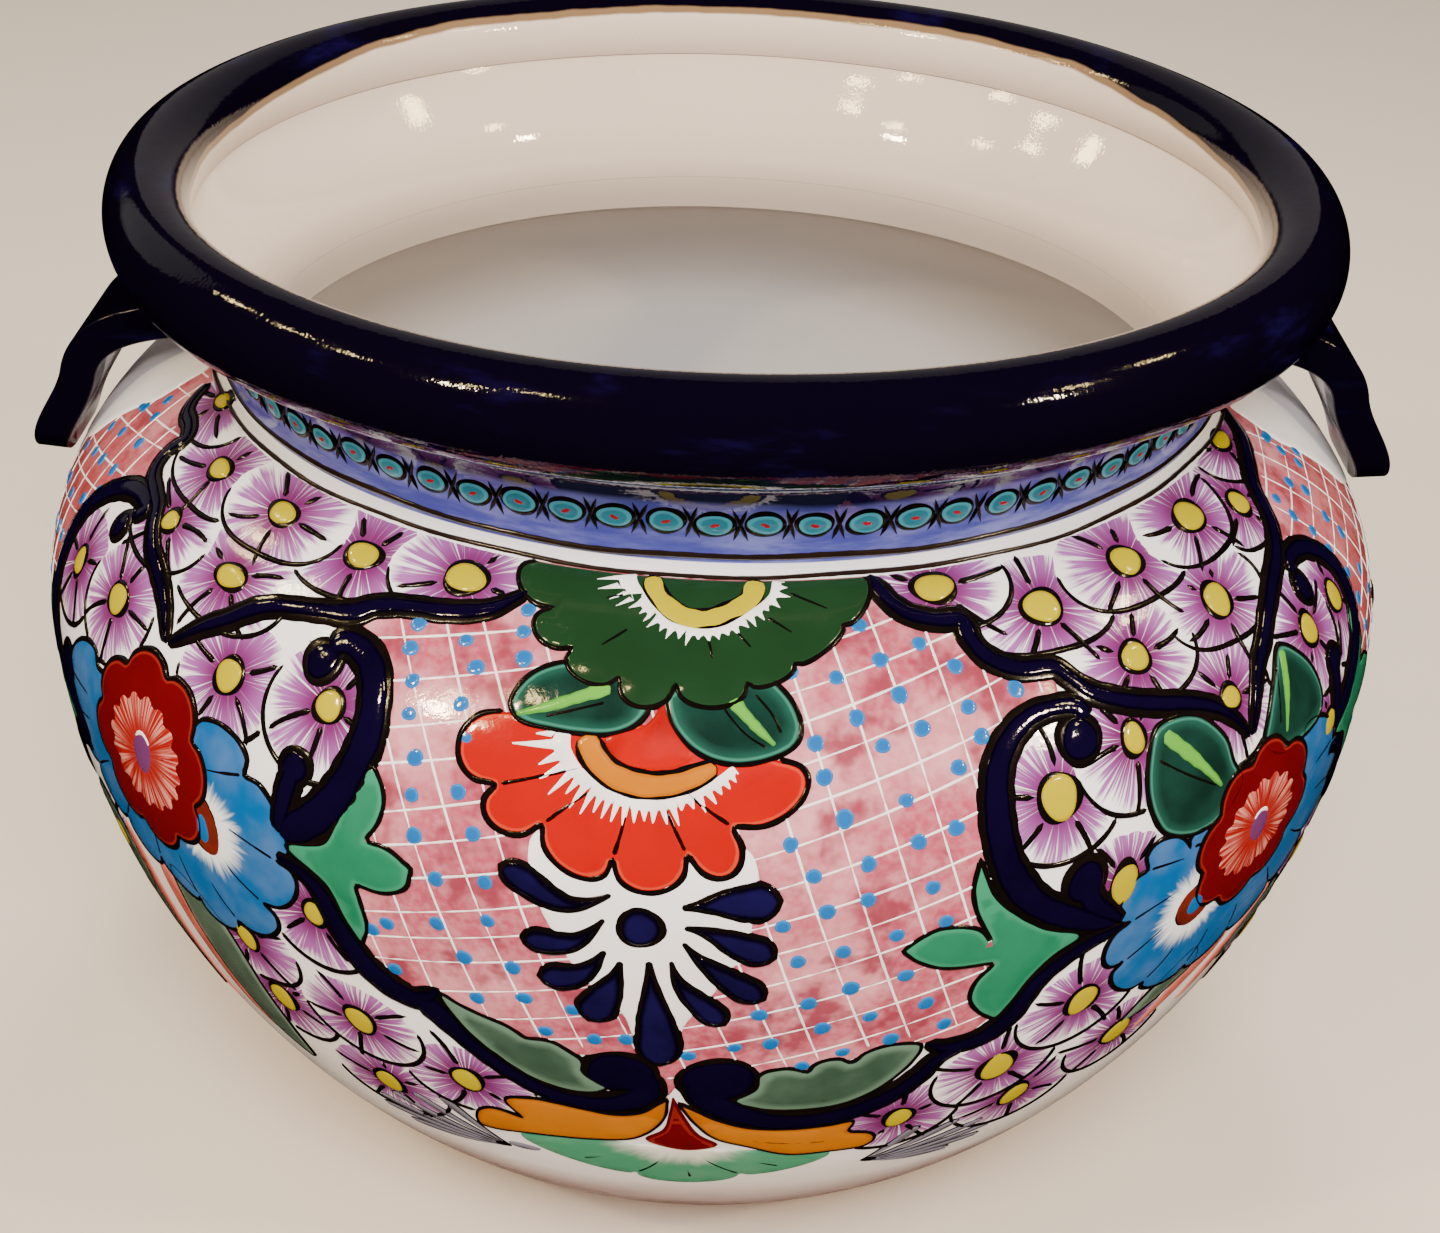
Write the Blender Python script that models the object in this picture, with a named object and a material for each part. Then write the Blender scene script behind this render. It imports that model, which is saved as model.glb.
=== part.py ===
# Painted earthenware vase: a wide, round-bellied pot with a rolled rim, a low
# collar and two strap handles. It is built from the clay pieces that the potter
# forms one by one and joins with slip before the firing.
# Lengths are metres. The origin is the centre of the foot, +Z points up, and the
# handles lie on the X axis.
import math

import bmesh
import bpy
from mathutils import Vector
from mathutils.geometry import interpolate_bezier

MM = 0.001

# Whole vase
HEIGHT = 340 * MM
BELLY_RADIUS = 225 * MM
BELLY_DROP = 144 * MM
WALL = 13 * MM
CLAY_GAP = 0.3 * MM
SEGMENTS = 72

# Foot and floor
BASE_RADIUS = 140 * MM
FOOT_INSET = 18 * MM
FOOT_WIDTH = 18 * MM
FOOT_HEIGHT = 14 * MM
FOOT_ROUNDING = 3 * MM
FLOOR = 14 * MM

# Neck and mouth
NECK_RADIUS = 164.5 * MM
NECK_DROP = 64 * MM
LIP_FLARE = 15.5 * MM
LIP_DROP = 22 * MM
LIP_SHANK = 10 * MM
COLLAR_UPRIGHT = 0.62
COLLAR_LEAN = 0.30
COLLAR_LEAN_RISE = 0.86
THROAT_LEAN = 0.35
THROAT_LEAN_FALL = 0.30
THROAT_UPRIGHT = 0.45

# Rolled rim, an oval ring
RIM_OVERHANG = 16 * MM
RIM_WIDTH = 26.4 * MM
RIM_DEPTH = 30 * MM

# Swell of the body: 2 would be an ellipse, more is fuller, less is leaner
SHOULDER_SWELL = 2.15
BOWL_SWELL = 1.87

# Strap handles
STRAP_WIDTH = 50 * MM
STRAP_THICKNESS = 12 * MM
STRAP_EDGE = 4.5 * MM
STRAP_RISE = 9.5 * MM
STRAP_FALL = 43 * MM
STRAP_KNEE_INSET = 13 * MM
STRAP_KNEE_DROP = 21 * MM
STRAP_TONGUE = 15 * MM
LEFT_STRAP_DROP = 3.5 * MM
RIGHT_STRAP_DROP = -3.5 * MM
STRAP_STEPS = 11

# Pull of the strap's curves, as shares of its reach, knee and fall
STRAP_LEVEL_REACH = 0.62
STRAP_KNEE_REACH = 0.06
STRAP_KNEE_RISE = 0.70
STRAP_KNEE_LEAN = 0.23
STRAP_KNEE_FALL = 0.36
STRAP_FOOT_FALL = 0.40

# Tip of a strap's tongue, as shares of the full section
TONGUE_TIP_WIDTH = 0.45
TONGUE_TIP_THICKNESS = 0.60
EDGE_SHARE = 0.45

# Row counts of the turned profiles
BODY_ROWS = 9
COLLAR_ROWS = 6
RIM_INNER_ROWS = 10
RIM_OUTER_ROWS = 14

SHARP_ANGLE = math.radians(40)
WELD = 0.01 * MM

# Places that follow from the sizes
BELLY_Z = HEIGHT - BELLY_DROP
NECK_FOOT_Z = HEIGHT - NECK_DROP
LIP_Z = HEIGHT - LIP_DROP
FOOT_RADIUS = BASE_RADIUS - FOOT_INSET
THROAT_RADIUS = NECK_RADIUS - WALL
LIP_OUTER_RADIUS = NECK_RADIUS + LIP_FLARE
RIM_TOP_RADIUS = LIP_OUTER_RADIUS + RIM_OVERHANG - RIM_WIDTH / 2
RIM_MID_Z = HEIGHT - RIM_DEPTH / 2


def material(name, color, roughness, metallic=0.0):
    finish = bpy.data.materials.new(name)
    finish.use_nodes = True
    shader = finish.node_tree.nodes["Principled BSDF"]
    shader.inputs["Base Color"].default_value = (*color, 1.0)
    shader.inputs["Roughness"].default_value = roughness
    shader.inputs["Metallic"].default_value = metallic
    finish.diffuse_color = (*color, 1.0)
    return finish


def add_object(name, bm, finish):
    """Close a bmesh into a named object with outward faces and smooth round sides."""
    bmesh.ops.remove_doubles(bm, verts=bm.verts, dist=WELD)
    bmesh.ops.recalc_face_normals(bm, faces=bm.faces)
    mesh = bpy.data.meshes.new(name)
    bm.to_mesh(mesh)
    bm.free()
    mesh.shade_smooth()
    mesh.set_sharp_from_angle(angle=SHARP_ANGLE)
    mesh.materials.append(finish)
    obj = bpy.data.objects.new(name, mesh)
    bpy.context.scene.collection.objects.link(obj)
    return obj


def turned(name, profile, finish, closed=True):
    """Throw a (radius, height) profile round the vase's axis, as on a wheel."""
    bm = bmesh.new()
    verts = [bm.verts.new((radius, 0.0, z)) for radius, z in profile]
    pairs = list(zip(verts, verts[1:]))
    if closed:
        pairs.append((verts[-1], verts[0]))
    edges = [bm.edges.new(pair) for pair in pairs]
    bmesh.ops.spin(bm, geom=verts + edges, cent=(0, 0, 0), axis=(0, 0, 1),
                   angle=2 * math.pi, steps=SEGMENTS, use_merge=True)
    return add_object(name, bm, finish)


def swell(max_radius, mid_z, end_radius, end_z, power, rows=BODY_ROWS):
    """A quarter of a superellipse from the widest point to a given end point."""
    end_share = end_radius / max_radius
    depth = (end_z - mid_z) / (1 - end_share ** power) ** (1 / power)
    end_angle = math.acos(end_share ** (power / 2))
    points = []
    for i in range(rows + 1):
        angle = end_angle * i / rows
        radius = max_radius * math.cos(angle) ** (2 / power)
        z = mid_z + depth * math.sin(angle) ** (2 / power)
        points.append((radius, z))
    return points


def curve_points(start, handle_1, handle_2, end, count):
    corners = [Vector((radius, 0.0, z)) for radius, z in (start, handle_1, handle_2, end)]
    return [(p.x, p.z) for p in interpolate_bezier(*corners, count)]


# Outer and inner lines of the body, each from the belly towards its end
def shoulder_outside():
    return swell(BELLY_RADIUS, BELLY_Z, NECK_RADIUS, NECK_FOOT_Z, SHOULDER_SWELL)


def bowl_outside():
    return swell(BELLY_RADIUS, BELLY_Z, BASE_RADIUS, FOOT_HEIGHT, BOWL_SWELL)


def collar_outside():
    flare = LIP_OUTER_RADIUS - NECK_RADIUS
    rise = LIP_Z - LIP_SHANK - NECK_FOOT_Z
    upright = (NECK_RADIUS, NECK_FOOT_Z + COLLAR_UPRIGHT * rise)
    lean = (NECK_RADIUS + COLLAR_LEAN * flare, NECK_FOOT_Z + COLLAR_LEAN_RISE * rise)
    return curve_points((NECK_RADIUS, NECK_FOOT_Z), upright, lean,
                        (LIP_OUTER_RADIUS, LIP_Z - LIP_SHANK), COLLAR_ROWS)


def build_foot_ring():
    """The coil that the vase stands on, flat below and softly rounded outside."""
    inside = FOOT_RADIUS - FOOT_WIDTH
    top = FOOT_HEIGHT - CLAY_GAP
    profile = [(inside, top), (inside, FOOT_ROUNDING), (inside + FOOT_ROUNDING, 0.0)]
    for i in range(4):
        angle = math.radians(-90 + 30 * i)
        profile.append((FOOT_RADIUS - FOOT_ROUNDING + FOOT_ROUNDING * math.cos(angle),
                        FOOT_ROUNDING + FOOT_ROUNDING * math.sin(angle)))
    profile.append((FOOT_RADIUS, top))
    return turned("foot_ring", profile, BARE_CLAY)


def build_lower_bowl():
    """The lower half with its floor, from the base up to the belly joint."""
    floor_z = FOOT_HEIGHT + FLOOR
    inside = swell(BELLY_RADIUS - WALL, BELLY_Z, BASE_RADIUS - WALL, floor_z, BOWL_SWELL)
    profile = [(0.0, floor_z)] + inside[::-1] + bowl_outside() + [(0.0, FOOT_HEIGHT)]
    return turned("lower_bowl", profile, PAINTED_WHITE, closed=False)


def build_shoulder():
    """The upper half, which closes in from the belly to the seat of the collar."""
    outside = shoulder_outside()
    outside[0] = (BELLY_RADIUS, BELLY_Z + CLAY_GAP)
    inside = swell(BELLY_RADIUS - WALL, BELLY_Z, THROAT_RADIUS,
                   NECK_FOOT_Z - WALL, SHOULDER_SWELL)
    inside[0] = (inside[0][0], BELLY_Z + CLAY_GAP)
    profile = outside + [(THROAT_RADIUS, NECK_FOOT_Z)] + inside[::-1]
    return turned("shoulder", profile, PAINTED_WHITE)


def rim_inner_radius(z):
    """Where the inside of the rolled rim stands at a height."""
    return RIM_TOP_RADIUS - RIM_WIDTH / 2 * math.sqrt(1 - ((z - RIM_MID_Z) / (RIM_DEPTH / 2)) ** 2)


def build_neck_collar():
    """The low collar, which flares into a lip inside the rolled rim."""
    lip_inner = rim_inner_radius(LIP_Z)
    flare = lip_inner - THROAT_RADIUS
    rise = LIP_Z - NECK_FOOT_Z
    outside = collar_outside()
    outside[0] = (NECK_RADIUS, NECK_FOOT_Z + CLAY_GAP)
    lean = (lip_inner - THROAT_LEAN * flare, LIP_Z - THROAT_LEAN_FALL * rise)
    upright = (THROAT_RADIUS, NECK_FOOT_Z + THROAT_UPRIGHT * rise)
    inside = curve_points((lip_inner, LIP_Z), lean, upright,
                          (THROAT_RADIUS, NECK_FOOT_Z + CLAY_GAP), COLLAR_ROWS)
    profile = outside + [(LIP_OUTER_RADIUS, LIP_Z)] + inside
    return turned("neck_collar", profile, BLUE_GLAZE)


def build_rim_roll():
    """The heavy rolled rim, hollowed below so that it sits over the collar's lip."""
    seat_z = LIP_Z + CLAY_GAP
    seat_radius = LIP_OUTER_RADIUS + CLAY_GAP
    half_width, half_depth = RIM_WIDTH / 2, RIM_DEPTH / 2
    inner_angle = math.pi - math.asin((seat_z - RIM_MID_Z) / half_depth)
    lower_angle = -math.acos((seat_radius - RIM_TOP_RADIUS) / half_width)
    top_angle = math.pi / 2
    angles = [inner_angle + (top_angle - inner_angle) * i / RIM_INNER_ROWS
              for i in range(RIM_INNER_ROWS)]
    angles += [top_angle + (lower_angle - top_angle) * i / RIM_OUTER_ROWS
               for i in range(RIM_OUTER_ROWS + 1)]
    profile = [(RIM_TOP_RADIUS + half_width * math.cos(a), RIM_MID_Z + half_depth * math.sin(a))
               for a in angles]
    profile.append((seat_radius, seat_z))
    return turned("rim_roll", profile, NAVY_GLAZE)


def outer_radius(z):
    """Radius of the body's outside at a height on the shoulder."""
    points = shoulder_outside()
    for (r_low, z_low), (r_high, z_high) in zip(points, points[1:]):
        if z_low <= z <= z_high:
            return r_low + (r_high - r_low) * (z - z_low) / (z_high - z_low)
    return BELLY_RADIUS


def strap_line(drop):
    """Middle line of a strap: level out of the collar, over the knee, down the shoulder."""
    top_z = NECK_FOOT_Z + STRAP_RISE - drop
    foot_z = NECK_FOOT_Z - STRAP_FALL - drop
    foot_radius = outer_radius(foot_z) + STRAP_THICKNESS / 2
    knee = (foot_radius - STRAP_KNEE_INSET, top_z - STRAP_KNEE_DROP)
    start = (NECK_RADIUS - STRAP_THICKNESS / 2, top_z)
    reach = knee[0] - start[0]
    fall = knee[1] - foot_z
    level = (start[0] + STRAP_LEVEL_REACH * reach, top_z)
    above_knee = (knee[0] - STRAP_KNEE_REACH * reach, knee[1] + STRAP_KNEE_RISE * STRAP_KNEE_DROP)
    below_knee = (knee[0] + STRAP_KNEE_LEAN * STRAP_KNEE_INSET, knee[1] - STRAP_KNEE_FALL * fall)
    above_foot = (foot_radius, foot_z + STRAP_FOOT_FALL * fall)
    over = curve_points(start, level, above_knee, knee, STRAP_STEPS)
    down = curve_points(knee, below_knee, above_foot, (foot_radius, foot_z), STRAP_STEPS)
    return over + down[1:]


def strap_section(width, thickness):
    """A flat bar's outline with round edges, as (across, outwards) pairs."""
    edge = min(STRAP_EDGE, EDGE_SHARE * width, EDGE_SHARE * thickness)
    outline = []
    for corner in range(4):
        side_x = 1 if corner in (0, 3) else -1
        side_y = 1 if corner in (0, 1) else -1
        for step in range(4):
            angle = math.radians(90 * corner + 30 * step)
            outline.append((side_x * (width / 2 - edge) + edge * math.cos(angle),
                            side_y * (thickness / 2 - edge) + edge * math.sin(angle)))
    return outline


def seat_cutter():
    """The vase's outside, a joint's gap larger, which shapes the seats of the straps."""
    below_belly = bowl_outside()[1:BODY_ROWS // 2]
    wall = below_belly[::-1] + shoulder_outside() + collar_outside()[1:]
    profile = [(r + CLAY_GAP, z + CLAY_GAP) for r, z in wall]
    profile = [(0.0, profile[0][1])] + profile + [(0.0, profile[-1][1])]
    cutter = turned("seat_cutter", profile, BARE_CLAY, closed=False)
    cutter.hide_render = True
    cutter.display_type = 'WIRE'
    return cutter


def build_handle(name, side, drop, cutter):
    """A pulled strap: its section follows the line, and its tongue is rounded off."""
    line = strap_line(drop)
    along = [0.0]
    for (r0, z0), (r1, z1) in zip(line, line[1:]):
        along.append(along[-1] + math.hypot(r1 - r0, z1 - z0))
    bm = bmesh.new()
    rings = []
    for i, (radius, z) in enumerate(line):
        before, after = line[max(i - 1, 0)], line[min(i + 1, len(line) - 1)]
        tangent = Vector((after[0] - before[0], after[1] - before[1])).normalized()
        outwards = Vector((-tangent.y, tangent.x))
        left = (along[-1] - along[i]) / STRAP_TONGUE
        roundness = math.sqrt(1 - (1 - min(left, 1)) ** 2)
        width = STRAP_WIDTH * (TONGUE_TIP_WIDTH + (1 - TONGUE_TIP_WIDTH) * roundness)
        tip_thickness = TONGUE_TIP_THICKNESS + (1 - TONGUE_TIP_THICKNESS) * roundness
        thickness = STRAP_THICKNESS * tip_thickness
        ring = []
        for across, out in strap_section(width, thickness):
            ring.append(bm.verts.new((side * (radius + outwards.x * out), across,
                                      z + outwards.y * out)))
        rings.append(ring)
    for ring, after in zip(rings, rings[1:]):
        for j in range(len(ring)):
            k = (j + 1) % len(ring)
            bm.faces.new((ring[j], ring[k], after[k], after[j]))
    bm.faces.new(rings[0])
    bm.faces.new(rings[-1])
    strap = add_object(name, bm, NAVY_GLAZE)
    cut = strap.modifiers.new("seat", 'BOOLEAN')
    cut.operation = 'DIFFERENCE'
    cut.solver = 'EXACT'
    cut.object = cutter
    return strap


for old in list(bpy.data.objects):
    bpy.data.objects.remove(old, do_unlink=True)

BARE_CLAY = material("bare_clay", (0.60, 0.30, 0.17), 0.85)
PAINTED_WHITE = material("painted_white_glaze", (0.86, 0.80, 0.78), 0.12)
BLUE_GLAZE = material("blue_glaze", (0.13, 0.13, 0.46), 0.12)
NAVY_GLAZE = material("navy_glaze", (0.015, 0.008, 0.07), 0.08)

build_foot_ring()
build_lower_bowl()
build_shoulder()
build_neck_collar()
build_rim_roll()
seat = seat_cutter()
build_handle("handle_left", -1, LEFT_STRAP_DROP, seat)
build_handle("handle_right", 1, RIGHT_STRAP_DROP, seat)
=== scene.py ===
# %% [markdown]
# # A painted earthenware vase
# A wide glazed pot with a rolled rim, two strap handles and raised, hand-painted
# flowers. The pot is thrown with spin, and the painting is laid on it as real
# raised glaze, shape by shape, the way the painter trails it on.

# %% Load the frame
import math
import random

import bpy
import numpy as np
from mathutils import Matrix, Vector
from mathutils.geometry import delaunay_2d_cdt


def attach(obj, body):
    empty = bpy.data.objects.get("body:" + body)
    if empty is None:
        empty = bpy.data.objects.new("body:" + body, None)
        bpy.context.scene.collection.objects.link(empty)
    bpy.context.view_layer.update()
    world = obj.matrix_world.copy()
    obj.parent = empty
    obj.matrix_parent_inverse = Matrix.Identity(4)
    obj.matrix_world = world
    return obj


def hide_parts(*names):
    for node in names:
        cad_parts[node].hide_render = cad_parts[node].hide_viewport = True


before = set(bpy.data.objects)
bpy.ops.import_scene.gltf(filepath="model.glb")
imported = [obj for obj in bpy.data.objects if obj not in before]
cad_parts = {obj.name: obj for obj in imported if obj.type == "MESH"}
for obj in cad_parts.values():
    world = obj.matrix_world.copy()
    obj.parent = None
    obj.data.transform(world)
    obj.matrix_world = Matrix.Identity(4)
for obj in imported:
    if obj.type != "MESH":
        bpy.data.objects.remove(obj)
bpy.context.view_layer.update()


# %% [markdown]
# ## Sizes
# Lengths are millimetres here and become metres when a mesh is made. They are
# the sizes of the clay pieces, so the painted pot fills the same space.

# %% Sizes
MM = 0.001
BELLY_RADIUS = 225
BELLY_Z = 196
WALL = 13
NECK_RADIUS = 164.5
NECK_FOOT_Z = 276
THROAT_RADIUS = 151.5
THROAT_DEPTH = 13
BASE_RADIUS = 140
FOOT_HEIGHT = 14
FOOT_RADIUS = 122
FOOT_WIDTH = 18
FOOT_ROUNDING = 3
FLOOR = 14
LIP_RADIUS = 180
LIP_Z = 318
LIP_SHANK = 10
HEIGHT = 340
RIM_RADIUS = 196
RIM_WIDTH = 26.4
RIM_DEPTH = 30
SHOULDER_SWELL = 2.15
BOWL_SWELL = 1.87
JOINT = 0.3
GLAZE_DEPTH = 1.1
STEPS_ROUND = 240
PAST_CORNER = 0.001
WELD = 0.00001

# Curves of the collar, as shares of its flare and its rise
COLLAR_UPRIGHT = 0.62
COLLAR_LEAN = 0.30
COLLAR_LEAN_RISE = 0.86
THROAT_LEAN = 0.35
THROAT_LEAN_FALL = 0.30
THROAT_UPRIGHT = 0.45
print("the vase is %d mm across and %d mm high" % (2 * BELLY_RADIUS, HEIGHT))

# %% [markdown]
# ## Curves
# A thrown body swells a little more or less than an ellipse, so its halves are
# quarters of a superellipse. The collar, the throat and the straps bend more
# freely, and each is a Bezier curve with two pulls.

# %% Curves
def bezier(start, pull_1, pull_2, end, rows):
    t = np.linspace(0, 1, rows + 1)[:, None]
    start, pull_1, pull_2, end = map(np.array, (start, pull_1, pull_2, end))
    return ((1 - t) ** 3 * start + 3 * (1 - t) ** 2 * t * pull_1
            + 3 * (1 - t) * t ** 2 * pull_2 + t ** 3 * end)


def swell(radius, middle, end_radius, end_z, power, rows):
    """A quarter of a superellipse, from the widest point to an end point."""
    share = end_radius / radius
    depth = (end_z - middle) / (1 - share ** power) ** (1 / power)
    angle = np.linspace(0, math.acos(share ** (power / 2)), rows + 1)
    return np.column_stack((radius * np.cos(angle) ** (2 / power),
                            middle + depth * np.sin(angle) ** (2 / power)))


def lengths(line):
    """The length so far at each point of a line."""
    return np.concatenate(([0], np.cumsum(np.hypot(*np.diff(line[:, :2], axis=0).T))))


def resampled(line, wanted):
    """Points of a line at given lengths along it."""
    return np.column_stack([np.interp(wanted, lengths(line), line[:, i]) for i in (0, 1)])


def unit(vectors):
    return vectors / np.maximum(np.hypot(*vectors.T), 1e-9)[:, None]


def aside(vectors):
    """Each vector turned by a quarter turn."""
    return np.column_stack((-vectors[:, 1], vectors[:, 0]))


def rounding(share):
    """A quarter circle: 0 at an edge, 1 where the share reaches 1."""
    return np.sqrt(1 - (1 - np.minimum(share, 1)) ** 2)


quarter = swell(BELLY_RADIUS, BELLY_Z, NECK_RADIUS, NECK_FOOT_Z, SHOULDER_SWELL, 3)
print("the shoulder from belly to neck in mm:", quarter.round().tolist())

# %% [markdown]
# ## The line of the pot
# Everything painted is placed by two numbers. `turn` is the angle round the pot
# in degrees, 0 at the front. `down` is the length in millimetres down the outer
# line from the foot of the neck. `on_pot` turns the two, and the height of the
# glaze over the clay, into a point in space.

# %% The line of the pot
collar_rise = LIP_Z - LIP_SHANK - NECK_FOOT_Z
collar_flare = LIP_RADIUS - NECK_RADIUS
collar_line = bezier((NECK_RADIUS, NECK_FOOT_Z),
                     (NECK_RADIUS, NECK_FOOT_Z + COLLAR_UPRIGHT * collar_rise),
                     (NECK_RADIUS + COLLAR_LEAN * collar_flare,
                      NECK_FOOT_Z + COLLAR_LEAN_RISE * collar_rise),
                     (LIP_RADIUS, LIP_Z - LIP_SHANK), 40)
collar_line = np.vstack(([(LIP_RADIUS, LIP_Z)], collar_line[::-1]))
shoulder_line = swell(BELLY_RADIUS, BELLY_Z, NECK_RADIUS, NECK_FOOT_Z, SHOULDER_SWELL, 90)[::-1]
bowl_line = swell(BELLY_RADIUS, BELLY_Z, BASE_RADIUS, FOOT_HEIGHT, BOWL_SWELL, 120)


def measured(line, start):
    """Add the length so far and the outward normal to each point of a line."""
    slope = unit(np.gradient(line, axis=0))
    return np.column_stack((start + lengths(line), line, aside(slope)))


collar_length = lengths(collar_line)[-1]
collar_part = measured(collar_line, -collar_length)
collar_part[-1, 0] = -PAST_CORNER
shoulder_part = measured(shoulder_line, 0)
bowl_part = measured(bowl_line, shoulder_part[-1, 0] + PAST_CORNER)
POT = np.vstack((collar_part, shoulder_part, bowl_part))
BELLY_DOWN = shoulder_part[-1, 0]
BASE_DOWN = bowl_part[-1, 0]
print("neck foot to belly %.1f mm, to base %.1f mm" % (BELLY_DOWN, BASE_DOWN))

# %% [markdown]
# ## Places on the pot
# A hand-thrown wall is never a true circle, so `uneven` takes a few tenths of a
# millimetre away all round. Flat shapes are drawn in millimetres round a middle
# turn, where the wall is rolled out, and go back on the pot with `to_pot`.

# %% Places on the pot
def uneven(turn):
    """How far the hand-thrown wall stands in from the true circle, in mm."""
    a = np.radians(turn)
    return 0.25 + 0.16 * np.sin(2 * a + 0.7) + 0.09 * np.sin(5 * a + 2.0)


def line_at(down):
    """Radius, height and outward normal of the pot's line at a length down."""
    return [np.interp(down, POT[:, 0], POT[:, i]) for i in (1, 2, 3, 4)]


def radius_at(down):
    return np.interp(down, POT[:, 0], POT[:, 1])


def degree_at(down):
    """The length of one degree round the pot, in mm."""
    return math.radians(1) * radius_at(down)


def on_pot(turn, down, height):
    radius, z, out, up = line_at(down)
    lift = np.asarray(height) - GLAZE_DEPTH
    radius = radius + lift * out - uneven(turn)
    a = np.radians(turn)
    return np.column_stack((radius * np.sin(a), -radius * np.cos(a), z + lift * up)) * MM


def to_flat(points, middle):
    flat = np.array(points, dtype=float)
    flat[:, 0] = np.radians(flat[:, 0] - middle) * radius_at(flat[:, 1])
    return flat


def to_pot(flat, middle):
    """Flat millimetres back to turn and down."""
    turn = middle + np.degrees(flat[:, 0] / radius_at(flat[:, 1]))
    return np.column_stack((turn, flat[:, 1]))


def moved(points, turn):
    return [(p[0] + turn, *p[1:]) for p in points]


print("front of the belly, in m:", on_pot(0, BELLY_DOWN, 0).round(4).tolist())

# %% [markdown]
# ## Shader sums
# `Paint` wraps a socket of a material, so that a recipe reads like arithmetic.
# Its `node` method makes any other node: the kind, then settings, then inputs.

# %% Shader sums
class Paint:
    def __init__(self, tree, socket):
        self.tree = tree
        self.socket = socket

    def node(self, kind, settings=None, inputs=None, output=0):
        made = self.tree.nodes.new(kind)
        for name, value in (settings or {}).items():
            setattr(made, name, value)
        for name, value in (inputs or {}).items():
            if isinstance(value, Paint):
                self.tree.links.new(value.socket, made.inputs[name])
            else:
                made.inputs[name].default_value = value
        return Paint(self.tree, made.outputs[output])

    def math(self, operation, *values):
        return self.node("ShaderNodeMath", {"operation": operation}, dict(enumerate(values)))

    def __add__(self, other):
        return self.math("ADD", self, other)

    def __sub__(self, other):
        return self.math("SUBTRACT", self, other)

    def __rsub__(self, other):
        return self.math("SUBTRACT", other, self)

    def __mul__(self, other):
        return self.math("MULTIPLY", self, other)

    def __truediv__(self, other):
        return self.math("DIVIDE", self, other)

    __radd__ = __add__
    __rmul__ = __mul__

    def ramp(self, low, high):
        """0 below low, 1 above high, smooth between."""
        return self.node("ShaderNodeMapRange", {"interpolation_type": "SMOOTHSTEP"},
                         {"Value": self, "From Min": low, "From Max": high})

    def mix(self, low, high):
        """The colour low where this is 0 and high where it is 1."""
        return self.node("ShaderNodeMix", {"data_type": "RGBA"}, {0: self, 6: low, 7: high}, 2)

    def part(self, axis):
        return self.node("ShaderNodeSeparateXYZ", {}, {0: self}, "XYZ".index(axis))

    def noise(self, scale, detail=2.0, roughness=0.5):
        return self.node("ShaderNodeTexNoise", {}, {"Vector": self, "Scale": scale,
                                                    "Detail": detail, "Roughness": roughness})


print("Paint can do:", ", ".join(name for name in vars(Paint) if name[0] != "_"))

# %% [markdown]
# ## A fired glaze
# A glaze is glass, melted over the clay: its colour lies under a smooth skin that
# is never quite level. Two noises make that orange peel, and a third lets the
# gloss change a little from place to place.

# %% A fired glaze
def hue(code, strength=1.0):
    """A colour written as on a paint chart, turned into linear light."""
    parts = [int(code[i:i + 2], 16) / 255 for i in (0, 2, 4)]
    linear = [c / 12.92 if c <= 0.04045 else ((c + 0.055) / 1.055) ** 2.4 for c in parts]
    return (*[c * strength for c in linear], 1.0)


def glaze(name, recipe, roughness=0.10, peel=0.05, shine=0.5):
    """A fired glaze: a colour recipe, a fine orange peel and small gloss changes."""
    made = bpy.data.materials.new(name)
    made.use_nodes = True
    tree = made.node_tree
    shader = tree.nodes["Principled BSDF"]
    place = Paint(tree, tree.nodes.new("ShaderNodeTexCoord").outputs["Object"])
    brush = place.node("ShaderNodeAttribute", {"attribute_name": "paint"}, {}, 1)
    tone = place.node("ShaderNodeAttribute", {"attribute_name": "tone"}, {}, 2)
    colour = recipe(place, brush, tone)
    tree.links.new(colour.socket, shader.inputs["Base Color"])
    gloss = place.noise(35.0, 3.0).ramp(0.3, 0.7) * (roughness * 0.8) + roughness * 0.7
    tree.links.new(gloss.socket, shader.inputs["Roughness"])
    skin = place.noise(140.0, 3.0) * 0.7 + place.noise(900.0, 1.0) * 0.3
    bump = skin.node("ShaderNodeBump", {}, {"Strength": peel, "Distance": 0.002, "Height": skin})
    tree.links.new(bump.socket, shader.inputs["Normal"])
    shader.inputs["Specular IOR Level"].default_value = shine
    return made


print("white glaze in linear light:", [round(c, 3) for c in hue("eeebee")])

# %% [markdown]
# ## Recipes of the colours
# A brush leaves streaks, so most colours vary along rays from a flower's centre,
# and a pool of glaze is paler or darker towards its edge. The attribute `paint`
# holds the place in mm from a shape's own root and, third, the way to its edge.

# %% Recipes of the colours
WHITE = hue("eeebee")
WARM_WHITE = hue("e4dedd")


def white_recipe(place, brush, tone):
    return place.noise(9.0, 3.0).ramp(0.35, 0.7).mix(WHITE, WARM_WHITE)


def polar(brush):
    """Radius in mm and a direction vector of unit length."""
    x, y = brush.part("X"), brush.part("Y")
    radius = (x * x + y * y).math("SQRT", x * x + y * y) + 0.001
    return radius, x / radius, y / radius


def rays(brush, tone, fine, drift=0.02):
    """Streaks that run out from the root like the hairs of a brush."""
    radius, across, along = polar(brush)
    spoke = radius.node("ShaderNodeCombineXYZ", {}, {"X": across * fine, "Y": along * fine,
                                                     "Z": radius * drift + tone * 37.0})
    return radius, spoke


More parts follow.
